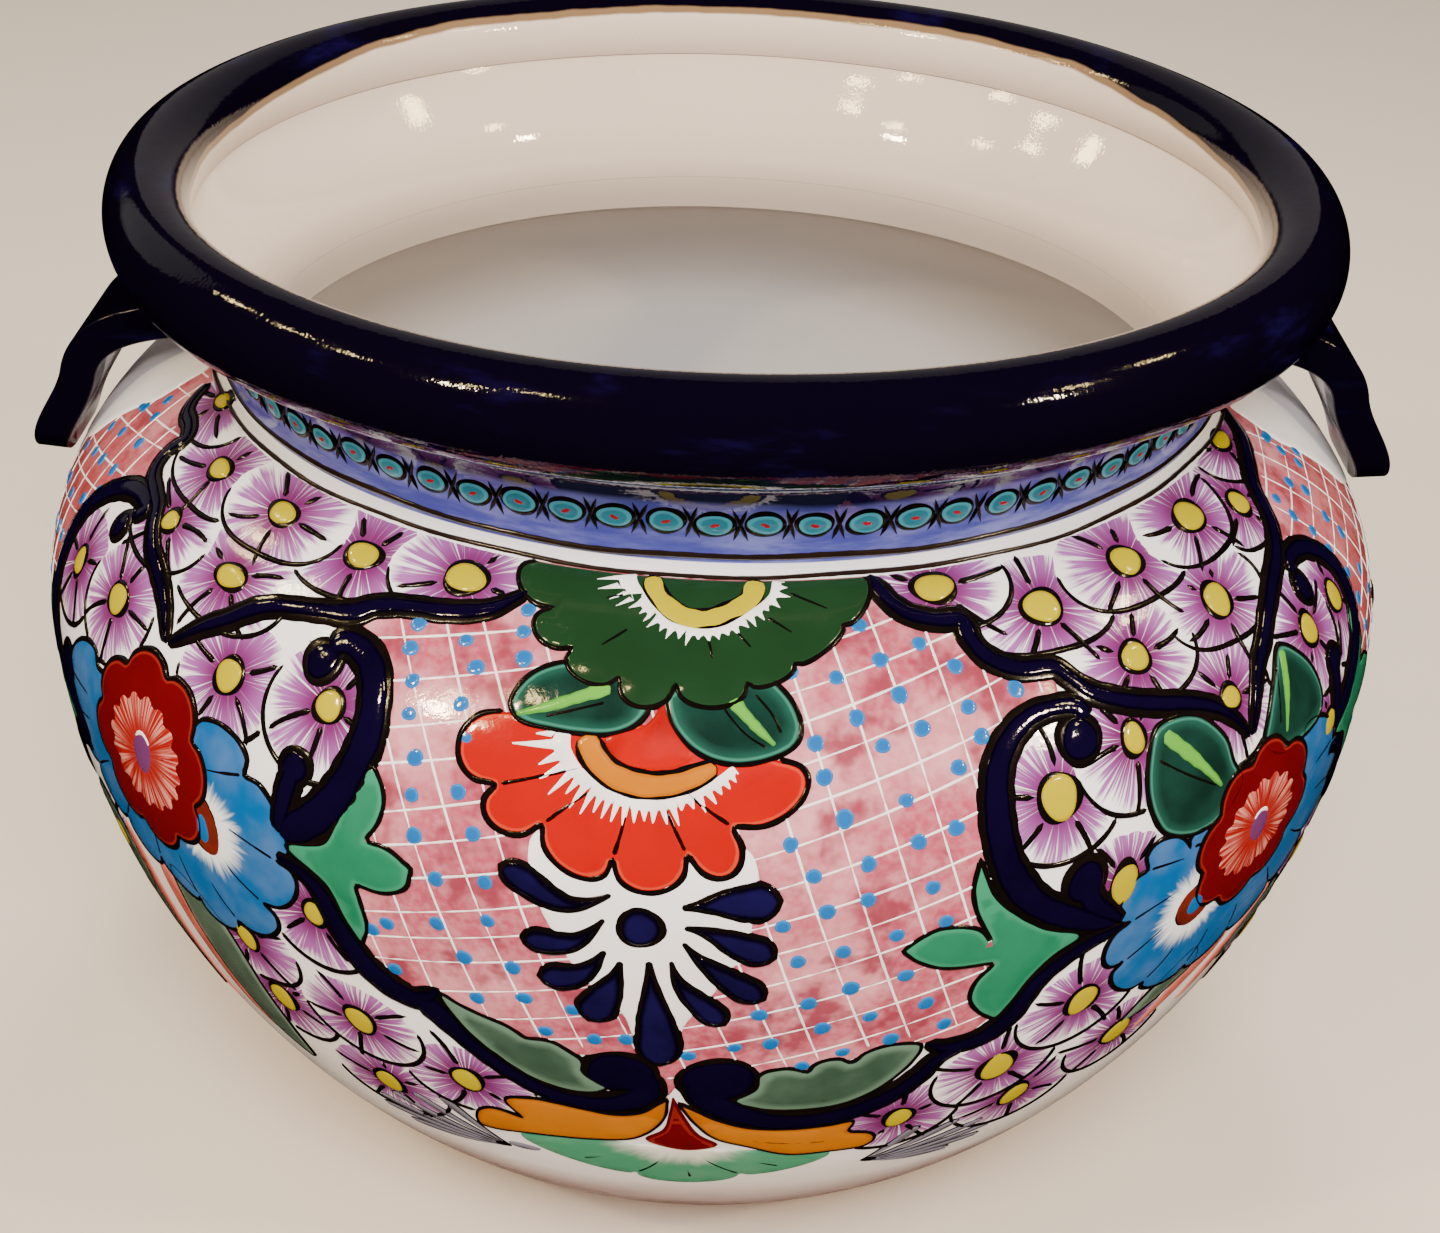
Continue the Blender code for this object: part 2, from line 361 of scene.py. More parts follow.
def violet_recipe(place, brush, tone):
    radius, petal = rays(brush, tone, 2.2, 0.01)
    _, hair = rays(brush, tone, 18.0, 0.03)
    length = 12.5 + petal.noise(1.0, 1.0).ramp(0.3, 0.7) * 6.0 + hair.noise(1.0, 2.0) * 11.0
    shade = 1.0 - (radius - length).ramp(-5.0, 0.4)
    gaps = (hair.noise(1.0, 2.0, 0.6) + 0.13 * (1.0 - radius.ramp(4.0, 18.0))).ramp(0.36, 0.52)
    body = shade * (0.16 + 0.84 * gaps)
    stroke = radius.ramp(4.0, 18.0).mix(hue("641c55"), hue("945698"))
    return body.mix(white_recipe(place, brush, tone), stroke)


print("white and violet mixed")

# %% [markdown]
# ## Pools and rays
# Most petals and leaves are filled from a loaded brush, which leaves a pool with
# a border of another depth. Others are drawn out from the middle in dry strokes.

# %% Pools and rays
def pooled(deep, edge, width, streak=0.25, lip=None):
    """Deep colour, thinner towards its border, with soft streaks and a pale lip line of painted
    highlight over thinning glaze.
    """
    def recipe(place, brush, tone):
        way = brush.part("Z")
        border = 1.0 - way.ramp(0.6, width)
        blot = place.noise(60.0, 3.0).ramp(0.3, 0.75) * streak
        share = (border + blot).math("MINIMUM", border + blot, 1.0)
        colour = share.mix(hue(deep), hue(edge))
        if lip is None:
            return colour
        # The lip line is a painted highlight just inside the black outline, where the glaze also
        # thins.
        line = way.ramp(0.8, 1.1) * (1.0 - way.ramp(1.3, 1.9))
        return (line * 0.7).mix(colour, hue(lip))
    return recipe


def rayed(centre, outside, start, end, fine=5.0, wild=6.0):
    """One colour near the root and another outside, meeting in ragged brush rays."""
    def recipe(place, brush, tone):
        radius, spoke = rays(brush, tone, fine, 0.05)
        ragged = radius + (spoke.noise(1.0, 3.0, 0.6) - 0.5) * (2.0 * wild)
        soft = place.noise(80.0, 2.0).ramp(0.3, 0.8) * 0.06
        return (ragged.ramp(start, end) * (1.0 - soft)).mix(hue(centre), hue(outside))
    return recipe


def ring_recipe(place, brush, tone):
    """Fine pale rays over red, as a nearly dry brush leaves them."""
    radius, hair = rays(brush, tone, 14.0, 0.03)
    streak = hair.noise(1.0, 3.0, 0.6).ramp(0.44, 0.60)
    share = streak * (0.10 + 0.80 * radius.ramp(7.0, 14.0))
    return share.mix(hue("8c1410"), hue("cc8478"))


def flat(code, other=None):
    def recipe(place, brush, tone):
        blot = place.noise(70.0, 3.0).ramp(0.35, 0.75)
        return blot.mix(hue(code), hue(other or code, 0.8))
    return recipe


print("pools and rays mixed")

# %% [markdown]
# ## Washes and bands
# The lattice ground is a wash of thinned glaze, so it runs into clouds and blots.
# The neck and the rim are banded on the turning wheel: their streaks lie level,
# which a noise squashed along Z gives.

# %% Washes and bands
def pink_recipe(place, brush, tone):
    """A watery wash: pale where it is thin, wine red where it gathered."""
    wash = place.noise(30.0, 4.0, 0.6).ramp(0.34, 0.62)
    spots = place.noise(70.0, 3.0, 0.6).ramp(0.46, 0.66) * 0.9
    grain = place.noise(420.0, 2.0).ramp(0.3, 0.7) * 0.16
    side = (place.part("X") * place.part("X")).ramp(0.022, 0.040) * 0.6
    light = wash.mix(hue("ce848e"), hue("a84458"))
    grained = grain.mix(light, hue("e2bcbc"))
    return side.mix(spots.mix(grained, hue("853040")), hue("963a33"))


def banded(place, squash, scale):
    """A noise whose streaks lie level, as on a turning wheel."""
    squashed = place.node("ShaderNodeVectorMath", {"operation": "MULTIPLY"},
                          {0: place, 1: (1.0, 1.0, squash)})
    return squashed.noise(scale, 4.0, 0.6)


NECK_WHITE_TO = 0.2766
NECK_BLUE_TO = 0.2935


def neck_recipe(place, brush, tone):
    streak = banded(place, 5.0, 45.0).ramp(0.35, 0.68)
    blue = streak.mix(hue("484c9c"), hue("7a7ebe"))
    depth = place.noise(14.0, 2.0).ramp(0.35, 0.7) * 0.5
    blue = depth.mix(blue, hue("3a3a8e"))
    above = (place.part("Z") + (place.noise(25.0, 2.0) - 0.5) * 0.004).ramp(
        NECK_BLUE_TO, NECK_BLUE_TO + 0.003)
    blue = above.mix(blue, hue("120a30"))
    return place.part("Z").ramp(NECK_WHITE_TO, NECK_WHITE_TO + 0.0004).mix(WHITE, blue)


def navy_recipe(place, brush, tone):
    return banded(place, 4.0, 22.0).ramp(0.55, 0.85).mix(hue("05020d"), hue("12073a"))


print("the neck is blue up to %.1f mm" % (NECK_BLUE_TO * 1000))

# %% [markdown]
# ## Two glazes on one piece
# The wall, the collar, the rim and the straps each wear two glazes. The attribute
# `tone` says which side of the piece a point is on, and a ramp over the height
# draws the line where the navy of the rim meets the cream of the inside.

# %% Two glazes on one piece
def inside_recipe(place, brush, tone):
    """Cream at the top, greyer below, with painted brownish shade where the throat turns in."""
    height = place.part("Z") * 1000.0 + place.noise(6.0, 2.0) * 40.0
    upper = height.ramp(190.0, 300.0).mix(hue("bcb8b6"), hue("d2bfae"))
    # Painted shade: a brownish-grey band darkens the inside where the throat turns in.
    lip = place.part("Z") * 1000.0 + place.noise(12.0, 2.0) * 6.0
    shade = lip.ramp(258.0, 266.0) * (1.0 - lip.ramp(268.0, 288.0))
    freckle = place.noise(300.0, 2.0).ramp(0.72, 0.80) * 0.35
    return freckle.mix((shade * 0.75).mix(upper, hue("9c8e82")), hue("b89a80"))


RIM_LINE_Z = 327.5
RIM_LINE_RISE = 8.0


def rim_recipe(place, brush, tone):
    """Navy, then a tan line where the two glazes meet, then the cream of the inside."""
    edge = place.part("Y").ramp(0.02, 0.15) * RIM_LINE_RISE + RIM_LINE_Z
    wavy = place.part("Z") * 1000.0 + (place.noise(30.0, 3.0) - 0.5) * 3.0 - edge
    navy, cream = navy_recipe(place, brush, tone), inside_recipe(place, brush, tone)
    line = ((1.0 - wavy.ramp(0.0, 0.8)) * tone).mix(navy, hue("7c6248"))
    return ((1.0 - wavy.ramp(-2.3, -1.3)) * tone).mix(line, cream)


def wall_recipe(place, brush, tone):
    """White outside and cream inside; `tone` tells the two apart."""
    return tone.mix(white_recipe(place, brush, tone), inside_recipe(place, brush, tone))


def collar_recipe(place, brush, tone):
    return tone.mix(neck_recipe(place, brush, tone), inside_recipe(place, brush, tone))


def strap_recipe(place, brush, tone):
    """Navy outside and round the front edge, white on the side towards the pot."""
    edge = (place.part("Y") + (place.noise(40.0, 2.0) - 0.5) * 0.006).ramp(-0.012, -0.010)
    return (tone.ramp(0.4, 0.6) * edge).mix(navy_recipe(place, brush, tone),
                                            white_recipe(place, brush, tone))


print("the rim's navy ends at %.1f mm in front" % RIM_LINE_Z)

# %% [markdown]
# ## Bare clay and the tint above the foot
# The foot is not glazed, so its clay shows with its grit. Above it the white glaze
# turns pinkish grey, more so towards the foot.

# %% Bare clay and the tint above the foot
def clay_recipe(place, brush, tone):
    speckle = place.noise(260.0, 4.0, 0.7).ramp(0.3, 0.7)
    return speckle.mix(hue("b5714b"), hue("c98a62"))


def foot_recipe(place, brush, tone):
    """Pinkish grey over the white, growing towards the foot."""
    low = 1.0 - (place.part("Z") + (place.noise(22.0, 3.0) - 0.5) * 0.03).ramp(0.040, 0.080)
    blot = place.noise(60.0, 3.0).ramp(0.35, 0.75)
    pinkish = blot.mix(hue("c6a5a3"), hue("b08b88"))
    return (low * 0.8).mix(white_recipe(place, brush, tone), pinkish)


print("clay colour in linear light:", [round(c, 3) for c in hue("b5714b")])

# %% [markdown]
# ## The paint box
# Every colour on the pot has one material. Its name says what it paints, and the
# codes are read as on a paint chart.

# %% The paint box
PAINTS = {
    "wall": glaze("wall_glaze", wall_recipe, 0.09, 0.06),
    "collar": glaze("collar_glaze", collar_recipe, 0.04, 0.04),
    "rim": glaze("rim_glaze", rim_recipe, 0.06, 0.08, 0.3),
    "strap": glaze("strap_glaze", strap_recipe, 0.07, 0.08, 0.3),
    "clay": glaze("bare_clay", clay_recipe, 0.85, 0.5),
    "violet": glaze("violet_rays", violet_recipe),
    "pink": glaze("pink_wash", pink_recipe),
    "white_line": glaze("white_trail", flat("f6eeee")),
    "white": glaze("white_ground", white_recipe),
    "dot": glaze("blue_dot", pooled("14599a", "2069aa", 1.0, 0.2)),
    "black": glaze("black_trail", flat("0a0706", "140c0a"), 0.12, 0.05, 0.3),
    "brown": glaze("brown_trail", flat("1c120e", "2a1a12"), 0.15),
    "navy": glaze("navy_scroll", pooled("09031e", "04010e", 1.6, 0.5), 0.05, 0.05, 0.3),
    "ink": glaze("navy_drop", pooled("120b36", "05020e", 2.4, 0.5), 0.05, 0.05, 0.3),
    "yellow": glaze("yellow_centre", pooled("aa9a00", "9a8800", 1.2)),
    "forest": glaze("forest_green", pooled("152f19", "1b3a20", 1.0, 0.35)),
    "feather": glaze("feather_green", pooled("2e4436", "56705f", 4.5, 0.35)),
    "dusk": glaze("dusky_green", pooled("3f5044", "627466", 4.0, 0.35)),
    # The last colour of leaf_green, orange_petal and crimson_petal is their painted highlight
    # line.
    "leaf": glaze("leaf_green", pooled("0c211b", "1b463b", 5.0, 0.4, "3a7866")),
    "rib": glaze("rib_green", pooled("5a9a34", "468430", 1.2)),
    "sea": glaze("sea_green", pooled("196547", "2c7c5c", 2.4, 0.4)),
    "orange": glaze("orange_petal", pooled("a40200", "900000", 1.2, 0.35, "c03c22")),
    "amber": glaze("amber_leaf", pooled("b06806", "9e5600", 2.0, 0.4)),
    "scarlet": glaze("scarlet_wedge", flat("a80400", "980200")),
    "crimson": glaze("crimson_petal", pooled("5e0406", "4e0203", 2.0, 0.5, "8a241c")),
    "ray_ring": glaze("pink_rays", ring_recipe),
    "mauve": glaze("mauve_centre", flat("5c2a5c", "6a3a6a")),
    "blue": glaze("blue_petal", rayed("dfe4ea", "0e528e", 10.0, 17.5, 9.0, 6.0)),
    "rust": glaze("rust_crescent", flat("6a2016", "581a12")),
    "turquoise": glaze("turquoise_bead", pooled("226a80", "3f90a4", 1.4)),
    "red": glaze("red_dash", flat("981422")),
    "pale_green": glaze("pale_green", rayed("dedad2", "3f8a68", 12.0, 26.0)),
    "coral": glaze("coral_leaf", pooled("a83c34", "b8685e", 5.0, 0.5)),
    "foot": glaze("foot_tint", foot_recipe),
    "slate": glaze("slate_drop", pooled("4c4854", "6c6874", 2.0, 0.5)),
}
print(len(PAINTS), "glazes mixed")

# %% [markdown]
# ## Throw the clay
# `spun` starts from a plane that is merged to one point, extrudes that point
# along half a section and spins the line once round the Z axis. `thrown` then
# makes the wall a little uneven and marks its inner side with the attribute `tone`.

# %% Throw the clay
def spun(name, profile, closed):
    bpy.ops.object.select_all(action="DESELECT")
    bpy.ops.mesh.primitive_plane_add(size=0.001)
    piece = bpy.context.object
    piece.name = name
    bpy.ops.object.mode_set(mode="EDIT")
    bpy.ops.mesh.select_all(action="SELECT")
    bpy.ops.mesh.merge(type="CENTER")
    line = np.array(list(profile) + [profile[0]] * closed) * MM
    bpy.ops.transform.translate(value=(line[0, 0], 0, line[0, 1]))
    for radial, rise in np.diff(line, axis=0):
        bpy.ops.mesh.extrude_region_move(TRANSFORM_OT_translate={"value": (radial, 0, rise)})
    bpy.ops.mesh.select_all(action="SELECT")
    bpy.ops.mesh.remove_doubles(threshold=WELD)
    bpy.ops.mesh.spin(steps=STEPS_ROUND, angle=2 * math.pi, center=(0, 0, 0), axis=(0, 0, 1))
    bpy.ops.mesh.select_all(action="SELECT")
    bpy.ops.mesh.remove_doubles(threshold=WELD)
    bpy.ops.mesh.normals_make_consistent(inside=False)
    bpy.ops.object.mode_set(mode="OBJECT")
    return piece


def mark(mesh, name, values):
    """Keep a number, or three, at each point of a mesh for its material."""
    kind, field = ("FLOAT_VECTOR", "vector") if values.ndim == 2 else ("FLOAT", "value")
    mesh.attributes.new(name, kind, "POINT").data.foreach_set(field, values.ravel())


def coloured(piece, paint, sharp_angle):
    piece.data.shade_smooth()
    piece.data.materials.clear()
    piece.data.materials.append(PAINTS[paint])
    bpy.ops.object.shade_smooth_by_angle(angle=math.radians(sharp_angle))


def thrown(name, profile, paint, nodes, closed=True, wobble=uneven, inside=None):
    piece = spun(name, profile, closed)
    mesh = piece.data
    spots = np.array([v.co for v in mesh.vertices])
    radius = np.hypot(spots[:, 0], spots[:, 1])
    turn = np.degrees(np.arctan2(spots[:, 0], -spots[:, 1]))
    scale = 1 - wobble(turn) * MM / np.maximum(radius, 0.05)
    spots[:, :2] *= scale[:, None]
    mesh.vertices.foreach_set("co", spots.ravel())
    mark(mesh, "tone", np.zeros(len(spots)) if inside is None
         else inside(radius / MM, spots[:, 2] / MM))
    mesh.update()
    coloured(piece, paint, 40)
    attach(piece, "root")
    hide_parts(*nodes)
    print(name, len(mesh.polygons), "faces")

# %% [markdown]
# ## Foot, bowl and shoulder
# A pot this wide is thrown in parts. The foot is a bare coil, the bowl carries the
# floor, and the shoulder closes in to the neck. The clay's outer line lies a glaze
# depth inside the line of the finished pot, which leaves room for the painting.

# %% Foot, bowl and shoulder
def wall_points(first, last, rows):
    """The clay's outer line between two lengths down."""
    radius, z, out, up = line_at(np.linspace(first, last, rows + 1))
    return list(zip(radius - GLAZE_DEPTH * out, z - GLAZE_DEPTH * up))


def is_inside(radius, z):
    """1 for points of the inner wall, 0 for the outer wall."""
    order = np.argsort(POT[:, 2])
    outer = np.interp(z, POT[order, 2], POT[order, 1])
    return np.where(radius < outer - WALL * 0.45, 1.0, 0.0)


foot_inside = FOOT_RADIUS - FOOT_WIDTH
foot_top = FOOT_HEIGHT - JOINT
round_edge = [(FOOT_RADIUS - FOOT_ROUNDING + FOOT_ROUNDING * math.cos(a),
               FOOT_ROUNDING + FOOT_ROUNDING * math.sin(a))
              for a in np.radians(np.arange(-90, 1, 15))]
foot_profile = [(foot_inside, foot_top), (foot_inside, FOOT_ROUNDING),
                (foot_inside + FOOT_ROUNDING, 0)] + round_edge + [(FOOT_RADIUS, foot_top)]
thrown("foot_coil", foot_profile, "clay", ["foot_ring"],
       wobble=lambda turn: 0 * turn)

floor_z = FOOT_HEIGHT + FLOOR
bowl_inside = swell(BELLY_RADIUS - WALL, BELLY_Z, BASE_RADIUS - WALL, floor_z, BOWL_SWELL, 30)
bowl_outside = wall_points(BELLY_DOWN + PAST_CORNER, BASE_DOWN, 90)
bowl_profile = [(0, floor_z), *bowl_inside[::-1], *bowl_outside, (0, FOOT_HEIGHT + 0.2)]
thrown("thrown_bowl", bowl_profile, "wall", ["lower_bowl"],
       closed=False, inside=is_inside)

shoulder_inside = swell(BELLY_RADIUS - WALL, BELLY_Z, THROAT_RADIUS,
                        NECK_FOOT_Z - THROAT_DEPTH, SHOULDER_SWELL, 30)
shoulder_outside = wall_points(0, BELLY_DOWN, 60)
shoulder_top = shoulder_outside[0][1]
shoulder_profile = [*shoulder_inside, (THROAT_RADIUS, shoulder_top), *shoulder_outside]
thrown("thrown_shoulder", shoulder_profile, "wall", ["shoulder"],
       inside=is_inside)

# %% [markdown]
# ## Collar and rolled rim
# The collar flares into a lip, and the rim is a thick roll that hangs over it. Its
# section is an oval, open below where the lip goes in. A roll is pressed round by
# hand, so it is more uneven than the wall.

# %% Collar and rolled rim
rim_middle = RIM_RADIUS - RIM_WIDTH / 2
rim_mid_z = HEIGHT - RIM_DEPTH / 2


def rim_inner(z):
    return rim_middle - RIM_WIDTH / 2 * math.sqrt(1 - ((z - rim_mid_z) / (RIM_DEPTH / 2)) ** 2)


lip_inner = rim_inner(LIP_Z)
throat_rise = LIP_Z - NECK_FOOT_Z
throat_flare = lip_inner - THROAT_RADIUS
collar_inside = bezier((lip_inner, LIP_Z),
                       (lip_inner - THROAT_LEAN * throat_flare,
                        LIP_Z - THROAT_LEAN_FALL * throat_rise),
                       (THROAT_RADIUS, NECK_FOOT_Z + THROAT_UPRIGHT * throat_rise),
                       (THROAT_RADIUS, shoulder_top + 0.1), 24)
collar_outside = wall_points(-collar_length, -PAST_CORNER, 40)
collar_outside[-1] = (collar_outside[-1][0], shoulder_top + 0.1)
thrown("thrown_collar", [*collar_outside, *collar_inside[::-1]], "collar", ["neck_collar"],
       inside=is_inside)

seat_z = LIP_Z + JOINT
seat_radius = LIP_RADIUS + JOINT
inner_angle = math.pi - math.asin((seat_z - rim_mid_z) / (RIM_DEPTH / 2))
lower_angle = -math.acos((seat_radius - rim_middle) / (RIM_WIDTH / 2))
roll = [(rim_middle + RIM_WIDTH / 2 * math.cos(a), rim_mid_z + RIM_DEPTH / 2 * math.sin(a))
        for a in np.concatenate((np.linspace(inner_angle, math.pi / 2, 25)[:-1],
                                 np.linspace(math.pi / 2, lower_angle, 45)))]


def rim_uneven(turn):
    a = np.radians(turn)
    return 0.55 + 0.30 * np.sin(4 * a + 0.5) + 0.18 * np.sin(9 * a + 1.3)


thrown("rolled_rim", roll + [(seat_radius, seat_z)], "rim", ["rim_roll"],
       wobble=rim_uneven, inside=lambda radius, z: np.where(radius < rim_middle, 1.0, 0.0))

# %% [markdown]
# ## The line of a strap
# A strap is pulled from wet clay, so it leaves the collar level, droops over a
# knee and is pressed on to the shoulder. Two Bezier curves meet at the knee.

# %% The line of a strap
STRAP_WIDTH = 50
STRAP_THICKNESS = 12
STRAP_EDGE = 4.5
STRAP_RISE = 9.5
STRAP_FALL = 43
KNEE_INSET = 13
KNEE_DROP = 21
TONGUE = 15
TONGUE_WIDTH = 0.45
STRAP_ROWS = 60
STRAP_COLUMNS = 10


def strap_curve(drop):
    """Points of a strap's middle line, evenly spaced, and the length so far."""
    top_z = NECK_FOOT_Z + STRAP_RISE - drop
    foot_z = NECK_FOOT_Z - STRAP_FALL - drop
    wall = np.interp(-foot_z, -shoulder_line[:, 1], shoulder_line[:, 0])
    foot_radius = wall + STRAP_THICKNESS / 2
    knee = (foot_radius - KNEE_INSET, top_z - KNEE_DROP)
    start = (NECK_RADIUS - STRAP_THICKNESS / 2, top_z)
    reach, fall = knee[0] - start[0], knee[1] - foot_z
    over = bezier(start, (start[0] + 0.62 * reach, top_z),
                  (knee[0] - 0.06 * reach, knee[1] + 0.70 * KNEE_DROP), knee, 60)
    below = bezier(knee, (knee[0] + 0.23 * KNEE_INSET, knee[1] - 0.36 * fall),
                   (foot_radius, foot_z + 0.40 * fall), (foot_radius, foot_z), 60)
    line = np.vstack((over, below[1:]))
    even = np.linspace(0, lengths(line)[-1], STRAP_ROWS + 1)
    return resampled(line, even), even


print("a strap is %.0f mm long" % strap_curve(0)[1][-1])

# %% [markdown]
# ## Pull a strap
# A strap starts as a flat grid. Its points are moved along the strap's line,
# Solidify gives the clay its thickness, Bevel rounds the edges, and a Boolean
# cut with the pot's own outside shapes the seats.

# %% Pull a strap
def strap(name, node, side, drop, cutter):
    line, along = strap_curve(drop)
    bpy.ops.object.select_all(action="DESELECT")
    bpy.ops.mesh.primitive_grid_add(x_subdivisions=STRAP_COLUMNS, y_subdivisions=STRAP_ROWS,
                                    size=1.0)
    piece = bpy.context.object
    piece.name = name
    roundness = rounding((along[-1] - along) / TONGUE)
    widths = STRAP_WIDTH * (TONGUE_WIDTH + (1 - TONGUE_WIDTH) * roundness)
    for v in piece.data.vertices:
        row = round((v.co.y + 0.5) * STRAP_ROWS)
        v.co = Vector((side * line[row][0], v.co.x * widths[row], line[row][1])) * MM
    bpy.ops.object.mode_set(mode="EDIT")
    bpy.ops.mesh.select_all(action="SELECT")
    bpy.ops.mesh.normals_make_consistent(inside=False)
    bpy.ops.object.mode_set(mode="OBJECT")
    wall = piece.modifiers.new("wall", "SOLIDIFY")
    wall.thickness = (STRAP_THICKNESS - 0.4) * MM
    wall.offset = 0
    soft = piece.modifiers.new("soft", "BEVEL")
    soft.width = STRAP_EDGE * MM
    soft.segments = 6
    soft.limit_method = "ANGLE"
    soft.angle_limit = math.radians(50)
    cut = piece.modifiers.new("seat", "BOOLEAN")
    cut.operation = "DIFFERENCE"
    cut.solver = "EXACT"
    cut.object = cutter
    for step in ("wall", "soft", "seat"):
        bpy.ops.object.modifier_apply(modifier=step)
    mark(piece.data, "tone", strap_back(piece.data, line, side))
    coloured(piece, "strap", 50)
    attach(piece, "root")
    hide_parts(node)
    print(name, len(piece.data.polygons), "faces")


def strap_back(mesh, line, side):
    """1 on the side towards the pot, which the painter leaves white."""
    spots = np.array([v.co for v in mesh.vertices])[:, [0, 2]] / MM
    path = line * (side, 1)
    nearest = np.argmin(((spots[:, None] - path[None]) ** 2).sum(axis=2), axis=1)
    slope = unit(np.gradient(line, axis=0))
    out = (aside(slope) * (side, 1))[nearest]
    depth = ((spots - path[nearest]) * out).sum(axis=1)
    return np.where(depth < -4.6, 1.0, 0.0)


print("a strap is bent from %d faces" % (STRAP_COLUMNS * STRAP_ROWS))

# %% [markdown]
# ## Seat the straps
# The cutter is the pot's outside as one solid, removed once the seats are cut. The
# potter sets the two straps by eye, so one sits seven millimetres lower.

# %% Seat the straps
outside = np.vstack((collar_line[2:], shoulder_line[1:], bowl_line[1:40]))[::4]
cutter = spun("seat_cutter", [(0, outside[0][1]), *outside, (0, outside[-1][1])], False)
strap("strap_left", "handle_left", -1, 3.5, cutter)
strap("strap_right", "handle_right", 1, -3.5, cutter)
bpy.data.objects.remove(cutter, do_unlink=True)

# %% [markdown]
# ## Smooth curves
# A brush moves in one sweep, so a drawn line goes smoothly through its points,
# as a Catmull-Rom curve does. A point that is given twice makes a corner.

# %% Smooth curves
def flow(points, closed=False, step=1.6):
    """A smooth curve through points, with a new point about every step."""
    p = np.asarray(points, dtype=float)
    q = np.vstack((p[-1:], p, p[:2])) if closed else np.vstack((p[:1], p, p[-1:]))
    gaps = np.hypot(*np.diff(q[:, :2], axis=0).T)
    pieces = []
    for i in range(len(q) - 3):
        before, here, after = gaps[i:i + 3]
        if here < 1e-6:
            continue
        p0, p1, p2, p3 = q[i:i + 4]
        leave = (p2 - p0) / (here + before) * here
        arrive = (p3 - p1) / (here + after) * here
        count = max(1, math.ceil(here / step))
        t = (np.arange(count) / count)[:, None]
        pieces.append((2 * t ** 3 - 3 * t ** 2 + 1) * p1 + (t ** 3 - 2 * t ** 2 + t) * leave
                      + (3 * t ** 2 - 2 * t ** 3) * p2 + (t ** 3 - t ** 2) * arrive)
    if not closed:
        pieces.append(q[-2:-1])
    return np.vstack(pieces)


def ring_of(points):
    """A smooth closed outline through given points."""
    placed = np.array(points, dtype=float)
    middle = placed[:, 0].mean()
    return to_pot(flow(to_flat(placed, middle), closed=True), middle)


def lobed(notches, tips, closing=()):
    """Round petals: half an ellipse from notch to notch over each tip."""
    middle = np.mean([turn for turn, _ in notches])
    notches, tips = to_flat(notches, middle), to_flat(tips, middle)
    a = np.linspace(0, math.pi, 13)[:-1, None]
    parts = []
    for start, tip, end in zip(notches, tips, notches[1:]):
        centre = (start + end) / 2
        parts.append(centre + (start - centre) * np.cos(a) + (tip - centre) * np.sin(a) ** 0.85)
    parts.append(notches[-1:])
    if len(closing):
        parts.append(to_flat(closing, middle))
    return to_pot(np.vstack(parts), middle)


print("a corner and a curve:", flow([(0, 0), (0, 0), (2, 0), (2, 2)]).round(1).tolist())

# %% [markdown]
# ## Inside a shape
# To fill an outline, the script must know which spots lie inside it, and how far
# each one is from the border.

# %% Inside a shape
def within(polygon, spots):
    """Which spots lie inside a closed polygon."""
    hits = np.zeros(len(spots), dtype=bool)
    for (x0, y0), (x1, y1) in zip(polygon, np.roll(polygon, -1, axis=0)):
        if y0 != y1:
            crosses = (y0 > spots[:, 1]) != (y1 > spots[:, 1])
            at = x0 + (spots[:, 1] - y0) * (x1 - x0) / (y1 - y0)
            hits ^= crosses & (spots[:, 0] < at)
    return hits


def edge_distance(polygon, spots):
    """Distance from each spot to the nearest side of a closed polygon."""
    start, side = polygon, np.roll(polygon, -1, axis=0) - polygon
    length = np.maximum((side ** 2).sum(axis=1), 1e-9)
    near = np.full(len(spots), 1e9)
    for a, d, l2 in zip(start, side, length):
        t = np.clip(((spots - a) @ d) / l2, 0, 1)
        near = np.minimum(near, np.hypot(*(spots - a - t[:, None] * d).T))
    return near


def runs(keep):
    """Where each unbroken run of kept points begins and ends."""
    edges = np.flatnonzero(np.diff(np.concatenate(([0], keep, [0]))))
    return list(zip(edges[::2], edges[1::2]))


square = np.array([(0, 0), (4, 0), (4, 4), (0, 4)])
print("inside:", within(square, np.array([(1, 2), (5, 2)])).tolist())

# %% [markdown]
# ## Raised glaze
# A `Coat` gathers all the shapes of one colour and lays them on the pot as one
# mesh. Shapes are worked out flat, in millimetres, and bent round the pot last.

# %% Raised glaze
class Coat:
    def __init__(self, name, paint):
        self.name = name
        self.paint = paint
        self.parts = []

    def __str__(self):
        return "%s: %d shapes" % (self.name, len(self.parts))

    def add(self, flat, middle, height, brush, *faces):
        """Keep a flat shape: its points, glaze height, brush place and face corners."""
        tone = np.full(len(flat), draw.random())
        self.parts.append((to_pot(flat, middle), height, brush, tone, faces))

    def lay(self, turns):
        """Make one mesh per turn of the pot, so that each copy is a piece of its own."""
        place, height, brush, tone = (np.concatenate([p[i] for p in self.parts]) for i in range(4))
        turn, down = place.T
        corners, base = [], 0
        for part in self.parts:
            corners += [index + base for index in part[4]]
            base += len(part[0])
        for number, offset in enumerate(turns, 1):
            spots = on_pot(turn + offset, down, height)
            out = on_pot(turn + offset, down, height + 1) - spots
            faces = []
            for index in corners:
                a, b, c = (spots[index[:, i]] for i in range(3))
                flipped = (np.cross(b - a, c - a) * out[index[:, 0]]).sum(axis=1) < 0
                index = np.where(flipped[:, None], index[:, ::-1], index)
                faces += index.tolist()
            mesh = bpy.data.meshes.new(self.name)
            mesh.from_pydata(spots.tolist(), [], faces)
            mark(mesh, "paint", brush)
            mark(mesh, "tone", tone)
            mesh.materials.append(PAINTS[self.paint])
            mesh.shade_smooth()
            piece = bpy.data.objects.new("%s_%d" % (self.name, number), mesh)
            bpy.context.scene.collection.objects.link(piece)
            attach(piece, "root")
        print("%-18s %2d x %6d faces" % (self.name, len(turns), len(faces)))


